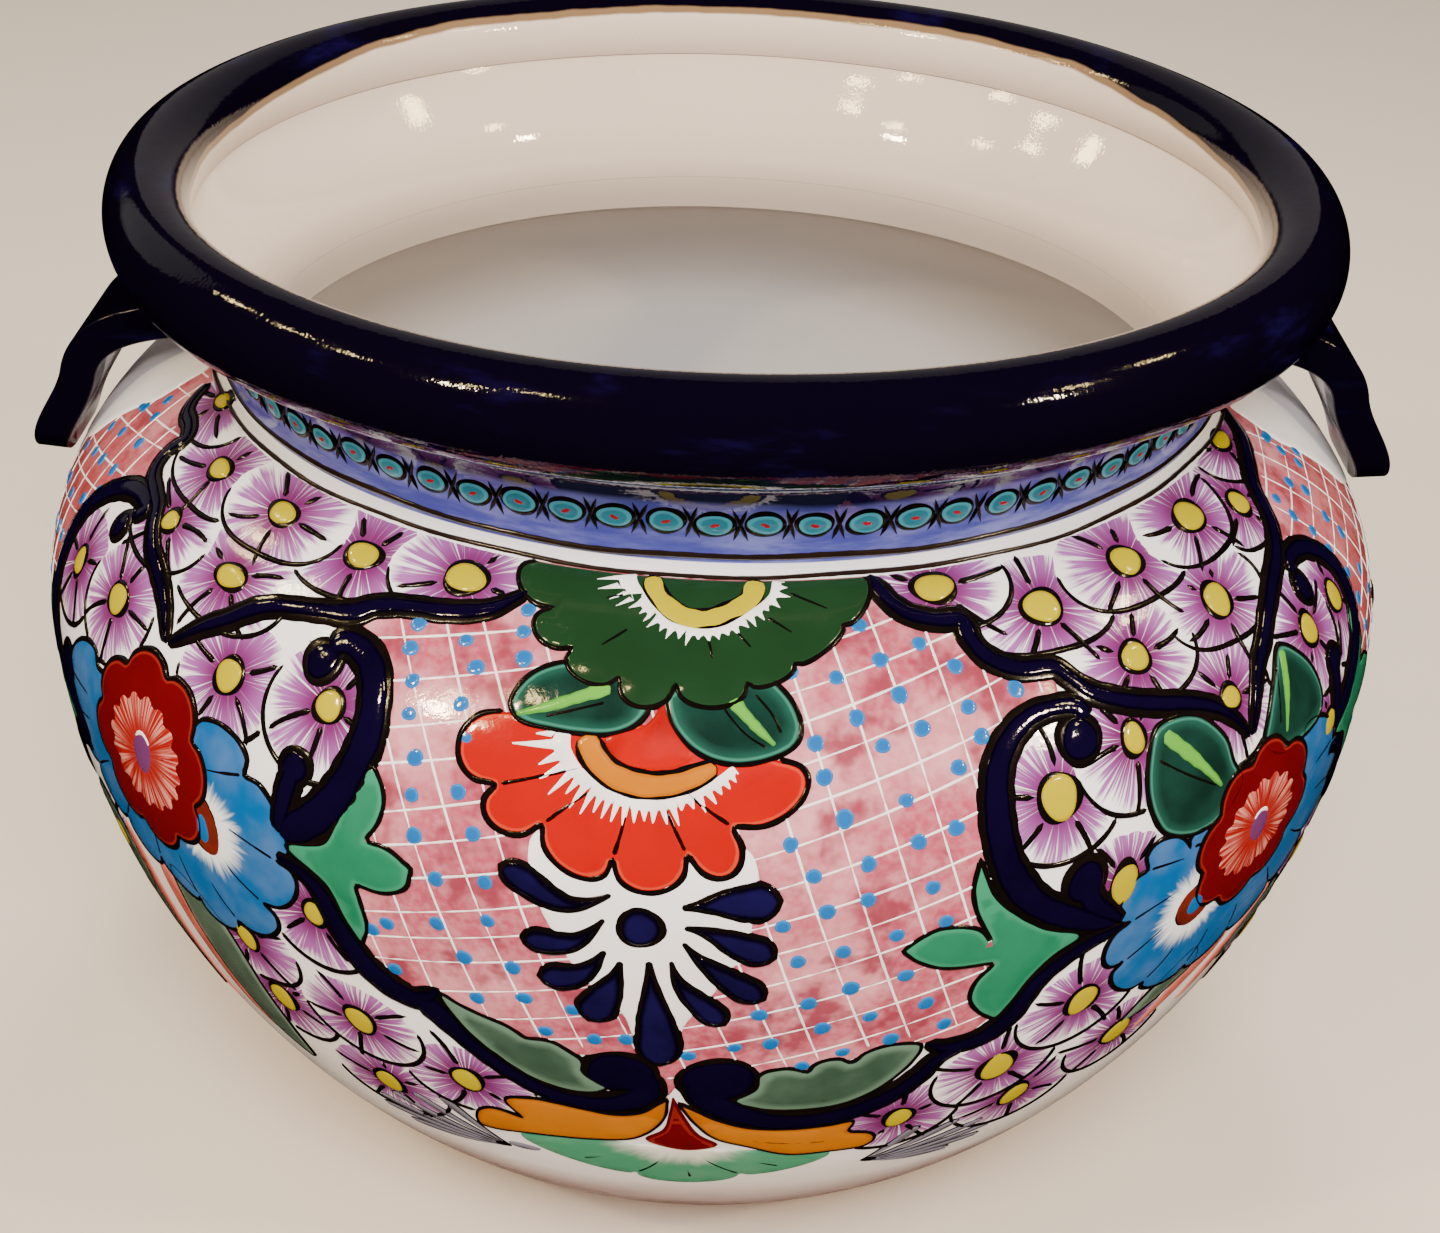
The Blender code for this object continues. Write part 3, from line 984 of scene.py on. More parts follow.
draw = random.Random(17)
BLACK = Coat("black_trails", "black")
NAVY = Coat("navy_scrolls", "navy")
UNDER = Coat("scroll_outlines", "black")
print(BLACK, NAVY, UNDER, sep=", ")

# %% [markdown]
# ## Trails
# Outlines are trailed from a fine nozzle, which leaves a bead of glaze with a round
# back. `trail` sweeps that round section along a line, lets the width wander as a
# hand does, and closes the bead at both ends.

# %% Trails
SUNK = 0.05


def rounded(across, power=2.0):
    """Height share over a stroke: 1 on its back, 0 at its two edges."""
    return (1 - np.abs(across) ** power) ** (1 / power)


def grid_faces(rows, columns):
    """Quads between points that are given row by row."""
    index = np.arange(rows * columns).reshape(rows, columns)
    corners = (index[:-1, :-1], index[:-1, 1:], index[1:, 1:], index[1:, :-1])
    return np.stack(corners, axis=-1).reshape(-1, 4)


def trail(coat, points, height, width=None, closed=False, wander=0.15, step=1.6):
    """A ribbon of glaze along points of (turn, down), or (turn, down, width)."""
    points = np.array(points, dtype=float)
    if width is not None:
        points = np.column_stack((points[:, :2], np.full(len(points), float(width))))
    middle = points[:, 0].mean()
    flat = to_flat(points, middle)
    line = flow(flat, closed, step)
    if closed:
        line = np.vstack((line, line[:1]))
    along = lengths(line)
    slope = np.gradient(line[:, :2], axis=0)
    if closed:
        slope[0] = slope[-1] = line[1, :2] - line[-2, :2]
    slope = unit(slope)
    half = line[:, 2] / 2
    phase = draw.random() * 6
    whole = 2 * math.pi / max(along[-1], 1)
    waves = max(2, round(along[-1] / 17))
    half = half * (1 + wander * np.sin(whole * waves * along + phase)
                   * np.sin(whole * (waves + 2) * along + 2 * phase))
    if not closed:
        reach = np.minimum(along, along[-1] - along) / np.maximum(half, 0.1)
        half = half * np.maximum(rounding(reach), 0.08)
    broad = line[:, 2].max() > 4
    rows = np.array((-1, -0.93, -0.75, -0.4, 0, 0.4, 0.75, 0.93, 1.0) if broad
                    else (-1, -0.7, 0, 0.7, 1.0))
    power = 3.0 if broad else 2.0
    spread = half[:, None] * rows[None, :]
    spots = line[:, None, :2] + aside(slope)[:, None] * spread[:, :, None]
    lift = (height + SUNK) * rounded(rows, power) * np.minimum(half / 0.5, 1)[:, None] - SUNK
    count, wide = spread.shape
    brush = np.stack((np.repeat(along[:, None], wide, 1), spread,
                      half[:, None] * (1 - np.abs(rows))[None, :]), axis=-1)
    coat.add(spots.reshape(-1, 2), middle, lift.ravel(), brush.reshape(-1, 3),
             grid_faces(count, wide))


def outlined(outline, height=0.85, width=2.0, closed=True):
    trail(BLACK, outline[::2] if len(outline) > 40 else outline, height, width, closed=closed)


print("trails ready")

# %% [markdown]
# ## Dabs
# A dot is one touch of a full brush, an oval drop that is highest in the middle.
# Rings of points round one on its back give it that form.

# %% Dabs
def wheel_faces(rings, count):
    """Triangles round a middle point and quads between the rings outside it."""
    index = 1 + np.arange(rings * count).reshape(rings, count)
    after = np.roll(index, -1, axis=1)
    hub = np.column_stack((np.zeros(count, dtype=int), index[0], after[0]))
    return hub, np.stack((index[:-1], after[:-1], after[1:], index[1:]), axis=-1).reshape(-1, 4)


def dab(coat, turn, down, rx, ry, height, tilt=0.0, power=3.0, uneven=0.03):
    """An oval drop with half axes rx and ry, turned by tilt degrees."""
    shares = np.array((0.45, 0.75, 0.92, 1.0))
    count = 20 if max(rx, ry) < 4 else 32
    a = np.arange(count) / count * 2 * math.pi
    hand = 1 + sum(uneven * np.sin(k * a + draw.random() * 6) for k in (3, 2))
    x, y = np.cos(a) * rx * hand, np.sin(a) * ry * hand
    lean = math.radians(tilt)
    x, y = x * math.cos(lean) - y * math.sin(lean), x * math.sin(lean) + y * math.cos(lean)
    rings = np.concatenate(([0.0], np.repeat(shares, count)))
    flat = np.column_stack((np.append(0, np.tile(x, len(shares))),
                            np.append(0, np.tile(y, len(shares))))) * rings[:, None] + (0, down)
    lift = (height + SUNK) * rounded(rings, power) - SUNK
    brush = np.column_stack((flat[:, 0], flat[:, 1] - down, (1 - rings) * min(rx, ry)))
    coat.add(flat, turn, lift, brush, *wheel_faces(len(shares), count))


print("dabs ready")

# %% [markdown]
# ## Pools
# A petal or a leaf is a pool of glaze held by its outline. Its surface is flat
# inside and rounds down over the last millimetre. Delaunay triangles fill it, with
# two rings of points near the border, where it bends.

# %% Pools
POOL_SUNK = 0.06


def pool(coat, outline, height, root=None, edge=1.0, spacing=4.5, fine=1.7):
    """A pool of glaze inside a closed outline, rounded down at its edge."""
    middle = outline[:, 0].mean()
    flat = to_flat(outline, middle)
    loop = np.vstack((flat, flat[:1]))
    whole = lengths(loop)[-1]
    count = max(12, round(whole / fine))
    border = resampled(loop, np.arange(count) / count * whole)
    box = zip(border.min(axis=0), border.max(axis=0))
    lines = [np.arange(low, high, spacing) for low, high in box]
    grid = np.stack(np.meshgrid(*lines), -1).reshape(-1, 2)
    grid = grid[within(border, grid)]
    grid = grid[edge_distance(border, grid) > 2.2 * edge] if len(grid) else grid
    after = np.roll(border, -1, axis=0)
    slope = unit(after - np.roll(border, 1, axis=0))
    area = (border[:, 0] * after[:, 1] - after[:, 0] * border[:, 1]).sum()
    inward = aside(slope) * (1 if area > 0 else -1)
    rings = []
    for share in (0.35, 1.0):
        ring = border + inward * edge * share
        ring = ring[within(border, ring)]
        rings.append(ring[edge_distance(border, ring) > 0.8 * edge * share])
    spots = np.vstack([border] + rings + [grid])
    sides = [(i, (i + 1) % count) for i in range(count)]
    made = delaunay_2d_cdt([Vector(p) for p in spots], sides, [], 1, 1e-5)
    spots = np.array([tuple(p) for p in made[0]])
    depth = edge_distance(border, spots)
    lift = (height + POOL_SUNK) * rounding(depth / edge) - POOL_SUNK
    start = to_flat([root], middle)[0] if root is not None else spots.mean(axis=0)
    brush = np.column_stack((spots - start, depth))
    coat.add(spots, middle, lift, brush, np.array(made[2]))


def filled(coat, outline, height, rim, width, root=None, closed=True):
    """A pool inside a black outline, which stands a little higher."""
    pool(coat, outline, height, root)
    outlined(outline, rim, width, closed)


print("pools ready")

# %% [markdown]
# ## The panels
# The front panel reaches from the neck to the bottom scrolls. The side panel lies
# under a strap: its lower part is the front one's, turned by a quarter turn, and
# its upper part is narrower. A pink wash fills both.

# %% The panels
PANEL_LEFT_TOP = [
    (-16.6, 3.2), (-16.1, 12.8), (-19.9, 22), (-25.6, 26), (-28.8, 29), (-29.5, 38),
    (-26.8, 46), (-25.5, 55)]
PANEL_LEFT_LOW = [
    (-25.3, 64), (-25.6, 73), (-27, 84), (-30, 97), (-30.5, 106), (-28, 112), (-26.4, 128.6),
    (-23.4, 142.8), (-20, 144.7), (-18.5, 141), (-16, 146.6), (-9, 155.7), (-6.5, 153.9),
    (-4.5, 155.7), (-2.9, 163.7), (-1.9, 172.4)]
PANEL_RIGHT_LOW = [
    (-1.1, 164.6), (0.5, 154.8), (2.5, 153.9), (4.4, 161.1), (9, 158.4), (14, 152.1),
    (17.5, 152.1), (20.8, 151.2), (23.3, 141), (24.6, 130.5), (28.5, 120.8), (27, 113),
    (23.5, 103), (21.7, 90), (21, 75)]
PANEL_RIGHT_TOP = [
    (21.7, 62), (23.5, 52), (28, 47), (28.3, 39.6), (25.3, 38), (22.6, 32), (21.8, 20.5),
    (17.2, 16.5), (15.3, 7), (15, 3.2)]
SIDE_LEFT_TOP = [
    (74.5, 3.2), (71, 10), (64, 20), (61.8, 30), (60.5, 40), (63.2, 44), (65.8, 52), (66.8, 61),
    (67.9, 72), (67.9, 82)]
SIDE_RIGHT_TOP = [
    (109.8, 74), (110.2, 65), (111.1, 55), (112.9, 47.6), (115.5, 41), (118.5, 38.5),
    (117.3, 34), (115.7, 26), (116.2, 16), (112, 15.4), (109.3, 9.7), (108.4, 3.2)]
front_panel = np.array(PANEL_LEFT_TOP + PANEL_LEFT_LOW + PANEL_RIGHT_LOW + PANEL_RIGHT_TOP)
side_panel = np.array(SIDE_LEFT_TOP + moved(PANEL_LEFT_LOW[3:] + PANEL_RIGHT_LOW[:-1], 90)
                      + SIDE_RIGHT_TOP)
PINK = Coat("pink_grounds", "pink")
pool(PINK, front_panel, 0.24, spacing=4.0)
pool(PINK, side_panel, 0.24, spacing=4.0)
print(PINK)

# %% [markdown]
# ## Lattice
# White lines are trailed over the wash in two slanting families. The hand that
# draws them shakes a little, so each line turns and shifts by a small random share.

# %% Lattice
LATTICE = Coat("lattice_lines", "white_line")
LATTICE_FAMILIES = ((-17, 10.2), (71, 12.6))  # slant in degrees, gap in mm
LATTICE_MIDDLE = (0, 85)
LATTICE_REACH = 140


def lattice(panel, middle):
    """Two families of slanting lines, cut off where they leave the panel."""
    flat_panel = to_flat(panel, middle)
    for slant, gap in LATTICE_FAMILIES:
        lean = math.radians(slant)
        go = np.array((math.cos(lean), math.sin(lean)))
        step = np.array((-go[1], go[0]))
        for i in range(-16, 17):
            tip = math.radians(draw.uniform(-1.2, 1.2))
            way = np.array((go[0] - tip * go[1], go[1] + tip * go[0]))
            start = LATTICE_MIDDLE + step * (i * gap + draw.uniform(-0.8, 0.8))
            line = start + way * np.arange(-LATTICE_REACH, LATTICE_REACH, 3.0)[:, None]
            keep = within(flat_panel, line)
            for first, last in runs(keep):
                if last - first > 2:
                    trail(LATTICE, to_pot(line[first:last], middle), 0.42, 0.9, step=4.0,
                          wander=0.3)


lattice(front_panel, 0)
lattice(side_panel, 90)
print(LATTICE)

# %% [markdown]
# ## Blue dots
# Most cells of the lattice get a blue dot. The painter skips cells and misses
# their middles, so the dots are placed as the photograph shows them.

# %% Blue dots
DOTS_LEFT = [
    (-24.6, 29.6), (-24.4, 37.1), (-23.2, 45.6), (-22.6, 54.4), (-21.2, 65.3), (-20.9, 75.3),
    (-20.3, 86.3), (-18.5, 97.5), (-20.1, 31.1), (-18.5, 37.8), (-18.8, 48.4), (-17.7, 56.9),
    (-17.5, 71.5), (-16, 81.9), (-14.9, 95), (-14.7, 107.5), (-15.6, 25.3), (-14.9, 32.8),
    (-15.8, 18.8), (-18.5, 112.5), (-22.5, 117.7), (-23.8, 121.8), (-16.6, 122.6), (-13, 122.6),
    (-22.3, 134.9), (-15.9, 137.7), (-12.3, 133.8), (-8.8, 135.6), (-10.9, 146.4),
    (-7.3, 146.9), (-5, 145.5), (-0.5, 151)]
DOTS_RIGHT = [
    (12.7, 18.4), (8.9, 24.4), (6.4, 30.9), (10.1, 33), (13.9, 28.9), (17.5, 25.5),
    (11.3, 44.4), (14.9, 39.1), (20, 33.3), (8, 50.6), (13, 52.4), (16.2, 48.9), (20.2, 45),
    (24.5, 42.4), (8.5, 59.6), (14.3, 67.4), (18.5, 60.6), (20.7, 53.4), (9.8, 70.9), (6, 77.1),
    (7.6, 86.1), (11.4, 83.6), (15, 78.9), (17.8, 76.5), (8.6, 96.8), (11.4, 94), (16, 92.5),
    (5.6, 100.9), (6.8, 113.1), (9.9, 110.5), (13.6, 106.5), (17.1, 104), (10.7, 124.1),
    (14.6, 121.5), (4.4, 132.9), (7.8, 129), (9, 139.5), (12.4, 136.3), (16.5, 133.8),
    (5.4, 145.2), (2.8, 146.7), (14.3, 147.3), (18.3, 144.3), (7.9, 156.1), (10.8, 151)]
DOTS = Coat("blue_dots", "dot")
for middle in (0, 90):
    for turn, down in DOTS_LEFT + DOTS_RIGHT:
        size = draw.uniform(2.2, 2.7)
        dab(DOTS, turn + middle, down, size, size * draw.uniform(0.9, 1.1), 0.55)
for turn, down in ((-14, 8), (-15, 19), (-13, 31), (14, 9), (16, 20), (13, 30)):
    dab(DOTS, turn + 90, down, 2.3, 2.3, 0.55)
print(DOTS)

# %% [markdown]
# ## Scrolls
# A scroll is trailed twice: a black line a little wider, then the navy over it.

# %% Scrolls
def scroll(points, bulbs=()):
    points = [tuple(p) for p in points]
    if points:
        trail(UNDER, [(t, d, w + 2.0) for t, d, w in points], 0.70, wander=0.05)
        trail(NAVY, [(t, d, max(w - 1.6, 1.4)) for t, d, w in points], 1.0, wander=0.05)
    for turn, down, rx, ry in bulbs:
        dab(UNDER, turn, down, rx + 1.0, ry + 1.0, 0.70)
        dab(NAVY, turn, down, rx - 0.8, ry - 0.8, 1.0)


CURL_WEST = [
    (-31, 45, 8), (-30.3, 41.5, 9), (-28.8, 41.2, 9.5), (-27.2, 44, 10), (-26.1, 49.5, 10),
    (-25.5, 56.5, 10), (-25.3, 64, 11), (-25.8, 73, 11), (-26.7, 82, 12), (-28.2, 90, 12),
    (-30.1, 96.5, 11), (-31.4, 100, 6)]
CURL_WEST_SIDE = [
    (-31.1, 48, 6), (-30, 43.6, 7), (-27, 45, 7.5), (-24.4, 52.5, 8), (-23.2, 61, 9),
    (-23.2, 71, 10), (-24.4, 81, 11), (-27, 90, 12), (-29.8, 96.5, 11), (-31.4, 100, 6)]
CURL_EAST = [
    (29.6, 55.5, 6.5), (29.3, 51.6, 7), (27.4, 49.9, 6.5), (25, 50.7, 7), (22.9, 55.3, 8),
    (21.5, 62.5, 9), (21, 71, 10), (21, 80, 10.5), (21.5, 89, 10.5), (22.5, 97, 11),
    (24.1, 104.5, 10), (27, 112.3, 10), (29.5, 117.6, 8), (31.5, 120.6, 4)]
CURL_EAST_SIDE = [
    (29.4, 46, 6), (30.4, 40.5, 7), (28.2, 39, 7.5), (25.4, 41.8, 8), (22.9, 48.5, 8),
    (21.3, 56.5, 9), (20.7, 65, 10), (20.8, 74, 10), (21, 82, 10.5)] + CURL_EAST[8:]
print("a scroll's swell is given point by point:", CURL_WEST[:2])

# %% [markdown]
# ## Scrolls round a panel
# Each side of a panel has a big curl that ends in a bulb, two short strokes below
# it and a scroll that rolls up at the bottom.

# %% Scrolls round a panel
def left_low(turn, curl, bulb):
    scroll(moved(curl, turn), [(bulb[0] + turn, *bulb[1:])])
    scroll(moved([(-30.6, 78, 8), (-31, 86, 8), (-31.3, 94, 7), (-31.5, 100, 5)], turn),
           [(-30.6 + turn, 78.5, 5.4, 5.8)])
    scroll(moved([(-32, 107.5, 3), (-29.7, 109.6, 6), (-28, 114.4, 8), (-27.2, 121.3, 9),
                  (-26.2, 128.6, 10), (-25, 136.3, 11), (-23, 142.7, 11), (-20.9, 144.7, 9),
                  (-19.4, 140.5, 5), (-18.9, 137.7, 3)], turn))
    scroll(moved([(-20.8, 143.8, 9), (-19.3, 148.4, 11), (-17.8, 155.7, 8.5), (-15.8, 163.7, 8),
                  (-13.5, 171.5, 8), (-11, 177.5, 8.5), (-8.2, 179.6, 10), (-5.6, 177.6, 11),
                  (-3.9, 172, 11), (-3.4, 165, 9), (-3.9, 160, 6)], turn),
           [(-5.5 + turn, 161.5, 11, 10.4)])


def right_low(turn, curl, bulb):
    scroll(moved(curl, turn), [(bulb[0] + turn, *bulb[1:])])
    scroll(moved([(28, 101, 10), (28.8, 109, 9), (30.4, 114.9, 7), (32.2, 120.8, 4)], turn),
           [(28 + turn, 101.5, 7.4, 8)])
    scroll(moved([(32.4, 122.3, 3), (30, 124.2, 6), (27.7, 127.6, 7), (25.6, 133.4, 8),
                  (24.5, 141, 8.5), (23.8, 147.5, 9), (21.9, 154.3, 9), (18.9, 155.3, 6),
                  (17.2, 151.6, 3)], turn))
    scroll(moved([(20.5, 154.8, 7), (18.4, 161, 6.5), (17.4, 168, 8), (15.8, 175.5, 9),
                  (13.4, 182, 10), (10.4, 186, 10), (7, 186.2, 11), (3.9, 181.6, 12),
                  (1.4, 174, 11.5), (0.2, 167, 9), (0.1, 162, 6)], turn),
           [(1.8 + turn, 162.6, 11.8, 10.8)])


left_low(0, CURL_WEST, (-31.2, 48.2, 6.2, 6.4))
left_low(90, CURL_WEST_SIDE, (-30.8, 52.8, 5.2, 5.8))
right_low(0, CURL_EAST, (28.6, 60, 6.8, 7.2))
right_low(-90, CURL_EAST_SIDE, (28.8, 50.2, 4.8, 5.4))
print(NAVY, UNDER, sep=", ")

# %% [markdown]
# ## Frames of the panels
# A wavy navy line runs from the neck down each edge of a panel, and two of them
# meet in a point over every big flower.

# %% Frames of the panels
scroll([
    (-16.1, 12.6, 2), (-17.2, 16.2, 4.5), (-19.2, 21, 6.5), (-22.5, 24.2, 6.5), (-25.6, 25.6, 6),
    (-28.8, 28.4, 7), (-30.7, 32.6, 8), (-32.9, 34.8, 6.5), (-35.4, 37, 6), (-38, 39.7, 6),
    (-39.8, 43.3, 6.5), (-41.6, 49, 6), (-43.4, 54, 5.5), (-44.9, 59, 4.5), (-46.6, 65.2, 1.5)])
scroll([
    (-46.8, 65.2, 1.5), (-47.6, 61.5, 4), (-48.9, 56.9, 5), (-50.4, 53.3, 5.5), (-52.5, 49.7, 6),
    (-54.7, 46.9, 6), (-56.7, 42.6, 6), (-58.4, 37.6, 6), (-60.5, 35.4, 6), (-62.7, 33.5, 6),
    (-64.1, 29.2, 6), (-64.5, 24.5, 6), (-64.1, 18.6, 6), (-66, 15.6, 5.5), (-68.4, 15, 5.5),
    (-69.8, 12.8, 5.5), (-70.7, 9.4, 5), (-71.6, 4.5, 4)])
scroll([
    (14.8, 3, 3), (15.1, 7, 6), (15.9, 12, 6.5), (17.2, 16.3, 7), (19.5, 19.4, 6.5),
    (21.8, 20.7, 7), (22, 26.5, 6.5), (23, 32.5, 7), (25.3, 37.2, 7), (28.3, 39, 6.5),
    (29.4, 43.2, 6), (30.7, 48.2, 6.5), (33.2, 53.2, 6.5), (36.4, 57.6, 6.5), (39.6, 61.4, 6),
    (42, 65.8, 5.5), (43.8, 72, 4), (45, 79, 1.5)])
scroll([
    (45.2, 79, 1.5), (46.1, 73, 4), (47.2, 67, 5), (48.5, 61, 6), (50.3, 56.6, 6.5),
    (52.2, 51.3, 6.5), (55.3, 45, 7), (58.9, 39, 7), (61.5, 32, 7), (62.9, 25.5, 7),
    (64.4, 20, 7), (68, 14.4, 6.5), (71, 10, 6.5), (72.6, 5.4, 5.5), (74.2, 2, 3)])
print(NAVY, UNDER, sep=", ")

# %% [markdown]
# ## Leaves
# Each leaf is a pool of green with a black outline; some carry a light midrib.

# %% Leaves
SEA = Coat("sea_green_leaves", "sea")
FEATHER = Coat("feather_leaves", "feather")
LEAF = Coat("dark_leaves", "leaf")
RIB = Coat("leaf_ribs", "rib")


def leaf(coat, points, height=0.60, width=1.8):
    """A pool of green and its black outline, which stands a little higher."""
    filled(coat, ring_of(points), height, height + 0.16, width)


SEA_LEFT = [
    (-30.8, 103), (-27.5, 97), (-26.6, 90), (-26, 82), (-25.3, 75), (-24.4, 70), (-24.4, 70),
    (-23.3, 75), (-22.9, 80), (-23.2, 86), (-24.1, 92), (-24.1, 92), (-22.2, 92.4),
    (-20.4, 96.4), (-20.4, 96.4), (-20.8, 103), (-22.6, 107), (-24.9, 107), (-24.9, 107),
    (-24.5, 114), (-24.2, 121.8), (-24.9, 129), (-24.9, 129), (-26.1, 121), (-27.4, 111)]
SEA_RIGHT = [
    (28.4, 120.8), (25.1, 114), (22.3, 105.3), (20.6, 97.8), (19.5, 86.5), (19.5, 86.5),
    (19, 95), (19.4, 103), (20.4, 111), (20.8, 114.4), (20.8, 114.4), (19.6, 108.6),
    (17, 106.2), (15.3, 108.6), (14.2, 112.3), (14.2, 112.3), (15.2, 116.4), (17.4, 120.8),
    (21.4, 122.4), (21.4, 122.4), (20.1, 128.6), (19.9, 135.3), (20.9, 141.9), (22.5, 147.1),
    (22.5, 147.1), (23.6, 140), (24.6, 132.4), (26.2, 125.7)]
FEATHER_LEFT = [
    (-18.9, 139.6), (-17.4, 142.4), (-15.6, 145), (-15.6, 145), (-13.9, 147.1), (-12.5, 151),
    (-12.5, 151), (-10.6, 150.6), (-9.3, 153.9), (-8.3, 157.9), (-8.3, 163.7), (-6.4, 169.8),
    (-6.4, 169.8), (-7.6, 173.2), (-9.7, 173.9), (-12.3, 170.7), (-14.5, 165), (-16.1, 158.4),
    (-17.7, 150.2)]
FEATHER_RIGHT = [
    (2.9, 173.9), (4.6, 167.2), (4.9, 159.3), (6.9, 157), (8.4, 159.3), (8.4, 159.3),
    (9, 155.2), (10.6, 153.9), (11.7, 157.1), (11.7, 157.1), (12.6, 152.3), (14.4, 150.1),
    (16.8, 152.1), (16.6, 158.4), (15.4, 166.4), (13.9, 172.8), (11.7, 177.9), (9, 179.5),
    (6, 178.8), (4, 176.2)]
for turn in (0, 90):
    leaf(SEA, moved(SEA_LEFT, turn))
    leaf(FEATHER, moved(FEATHER_LEFT, turn), 0.55)
for turn in (0, -90):
    leaf(SEA, moved(SEA_RIGHT, turn))
    leaf(FEATHER, moved(FEATHER_RIGHT, turn), 0.55)
print(SEA, FEATHER, sep=", ")

# %% [markdown]
# ## Dark leaves
# One dark leaf with a light rib stands beside each big flower, and a thin black
# line follows the rib.

# %% Dark leaves
LEAF_LEFT = [
    (35.5, 64), (34.2, 71), (33.6, 79.7), (34, 88.3), (35.3, 95.4), (38.6, 99.7), (41.5, 97),
    (43.4, 90), (42.6, 82.6), (42.2, 75), (40.2, 66), (37.8, 63)]
LEAF_RIGHT = [
    (51.8, 60.4), (49.8, 66.9), (47.6, 76.9), (46.6, 84), (48.6, 90), (51.5, 91), (54.9, 89.7),
    (56, 85), (55.6, 75.4), (54.2, 66.9)]
leaf(LEAF, LEAF_LEFT)
leaf(LEAF, LEAF_RIGHT)
trail(RIB, [(36, 66, 6.5), (38.2, 75, 5), (40.2, 84, 3), (41.2, 89, 1)], 0.80)
trail(RIB, [(51.9, 61.5, 4.5), (51, 71, 4), (50.1, 80, 2.5), (49.6, 86, 1)], 0.80)
trail(BLACK, [(34.8, 72), (37.4, 79.5), (40.6, 87.5)], 0.85, 1.1)
trail(BLACK, [(50.6, 63), (49.6, 73), (48.9, 82)], 0.85, 1.0)
print(LEAF, RIB, sep=", ")

# %% [markdown]
# ## White rays and cut lines
# Round a flower's bow the painter flicks a dry white brush outwards, which leaves
# ragged spikes. `ray_fan` makes them as one pool with a jagged outline. The petals
# are then parted by black lines, the cut lines, that run towards the root.

# %% White rays and cut lines
WHITES = Coat("white_grounds", "white")
RAYS = Coat("white_rays", "white_line")
YELLOW = Coat("yellow_centres", "yellow")


def ray_fan(points, height):
    """White brush spikes beside a bow, as one pool: each point gives their length."""
    placed = np.array(points, dtype=float)
    middle = placed[:, 0].mean()
    line = flow(to_flat(placed, middle), step=1.25)
    slope = unit(np.gradient(line[:, :2], axis=0))
    away = aside(slope)
    share = np.array([draw.uniform(0.6, 1.35) if i % 2 else 0.22 for i in range(len(line))])
    lean = np.array([draw.uniform(-0.9, 0.9) * (i % 2) for i in range(len(line))])
    far = line[:, :2] + away * (line[:, 2] * share)[:, None] + slope * lean[:, None]
    outline = np.vstack((line[:, :2] - away * 1.6, far[::-1]))
    pool(RAYS, to_pot(outline, middle), height, edge=0.5, fine=0.7)


def cut_lines(root, notches, reach, width, height):
    """Black lines that run from each notch part of the way to the root."""
    for turn, down in notches:
        far = draw.uniform(0.75, 1.15) * reach
        bend = draw.uniform(-0.3, 0.3)
        across, along = (root[0] - turn) * far, (root[1] - down) * far
        trail(BLACK, [(turn, down, width * 1.3),
                      (turn + across * 0.5 + bend, down + along * 0.5, width),
                      (turn + across, down + along, width * 0.5)], height, step=2.5)


print("rays and cut lines ready")

# %% [markdown]
# ## Green half flower
# It hangs from the neck over the middle of the front panel. What lies over its
# neighbour stands higher, so each layer has a height of its own.

# %% Green half flower
FOREST = Coat("green_flowers", "forest")
GREEN_NOTCHES = [
    (-16.4, 3.6), (-13.7, 17.1), (-11.2, 27.8), (-7, 34.5), (-2.6, 35), (3, 34), (6.8, 28.5),
    (11.2, 18), (13.9, 3.6)]
GREEN_TIPS = [
    (-17.4, 11.5), (-14.6, 25), (-10.2, 36), (-5, 42), (0.4, 41), (5.3, 34), (9.6, 25),
    (13.8, 12)]
YELLOW_BOW = [
    (-5.6, 3.2, 7), (-5.1, 8.3, 7), (-3.9, 12.6, 7), (-2.2, 15.8, 7.2), (-0.3, 15.9, 7.2),
    (1.7, 13.3, 7), (3.4, 9.6, 7), (4, 3.2, 8)]
green_flower = lobed(GREEN_NOTCHES, GREEN_TIPS)
filled(FOREST, green_flower, 0.86, 0.99, 2.0, closed=False)
trail(YELLOW, YELLOW_BOW, 1.08, wander=0.05)
trail(UNDER, [(t, d, w + 2.8) for t, d, w in YELLOW_BOW], 0.98, wander=0.05)
for start, end in (((-6.5, 19.4), (-8.3, 24.4)), ((-7.3, 9.9), (-8.9, 11.6)),
                   ((-0.3, 20.4), (0.1, 25.9)), ((1.8, 18.2), (3, 22.8)),
                   ((4.4, 14.2), (6.2, 18.4)), ((6.4, 7), (9.1, 11.4))):
    tip = [a + 1.6 * (b - a) for a, b in zip(start, end)]
    trail(BLACK, [(*start, 2.0), (*tip, 1.1)], 1.04, step=2.5)
ray_fan([(-7.5, 3.6, 20), (-7.2, 6.4, 16), (-6.6, 9, 11), (-5.9, 12, 7.5), (-5, 15, 6),
         (-3.6, 18.4, 5), (-1, 20.2, 4.4), (1.2, 19, 4.4), (3.6, 14, 4.4), (5.4, 9, 5.5),
         (5.9, 3.8, 7)], 0.93)
print(FOREST, YELLOW, RAYS, sep=", ")

# %% [markdown]
# ## Shapes of the orange half flower
# Below the green one hangs an orange one with six petals, a red heart and two dark
# leaves, and below it a white ground for the drops.

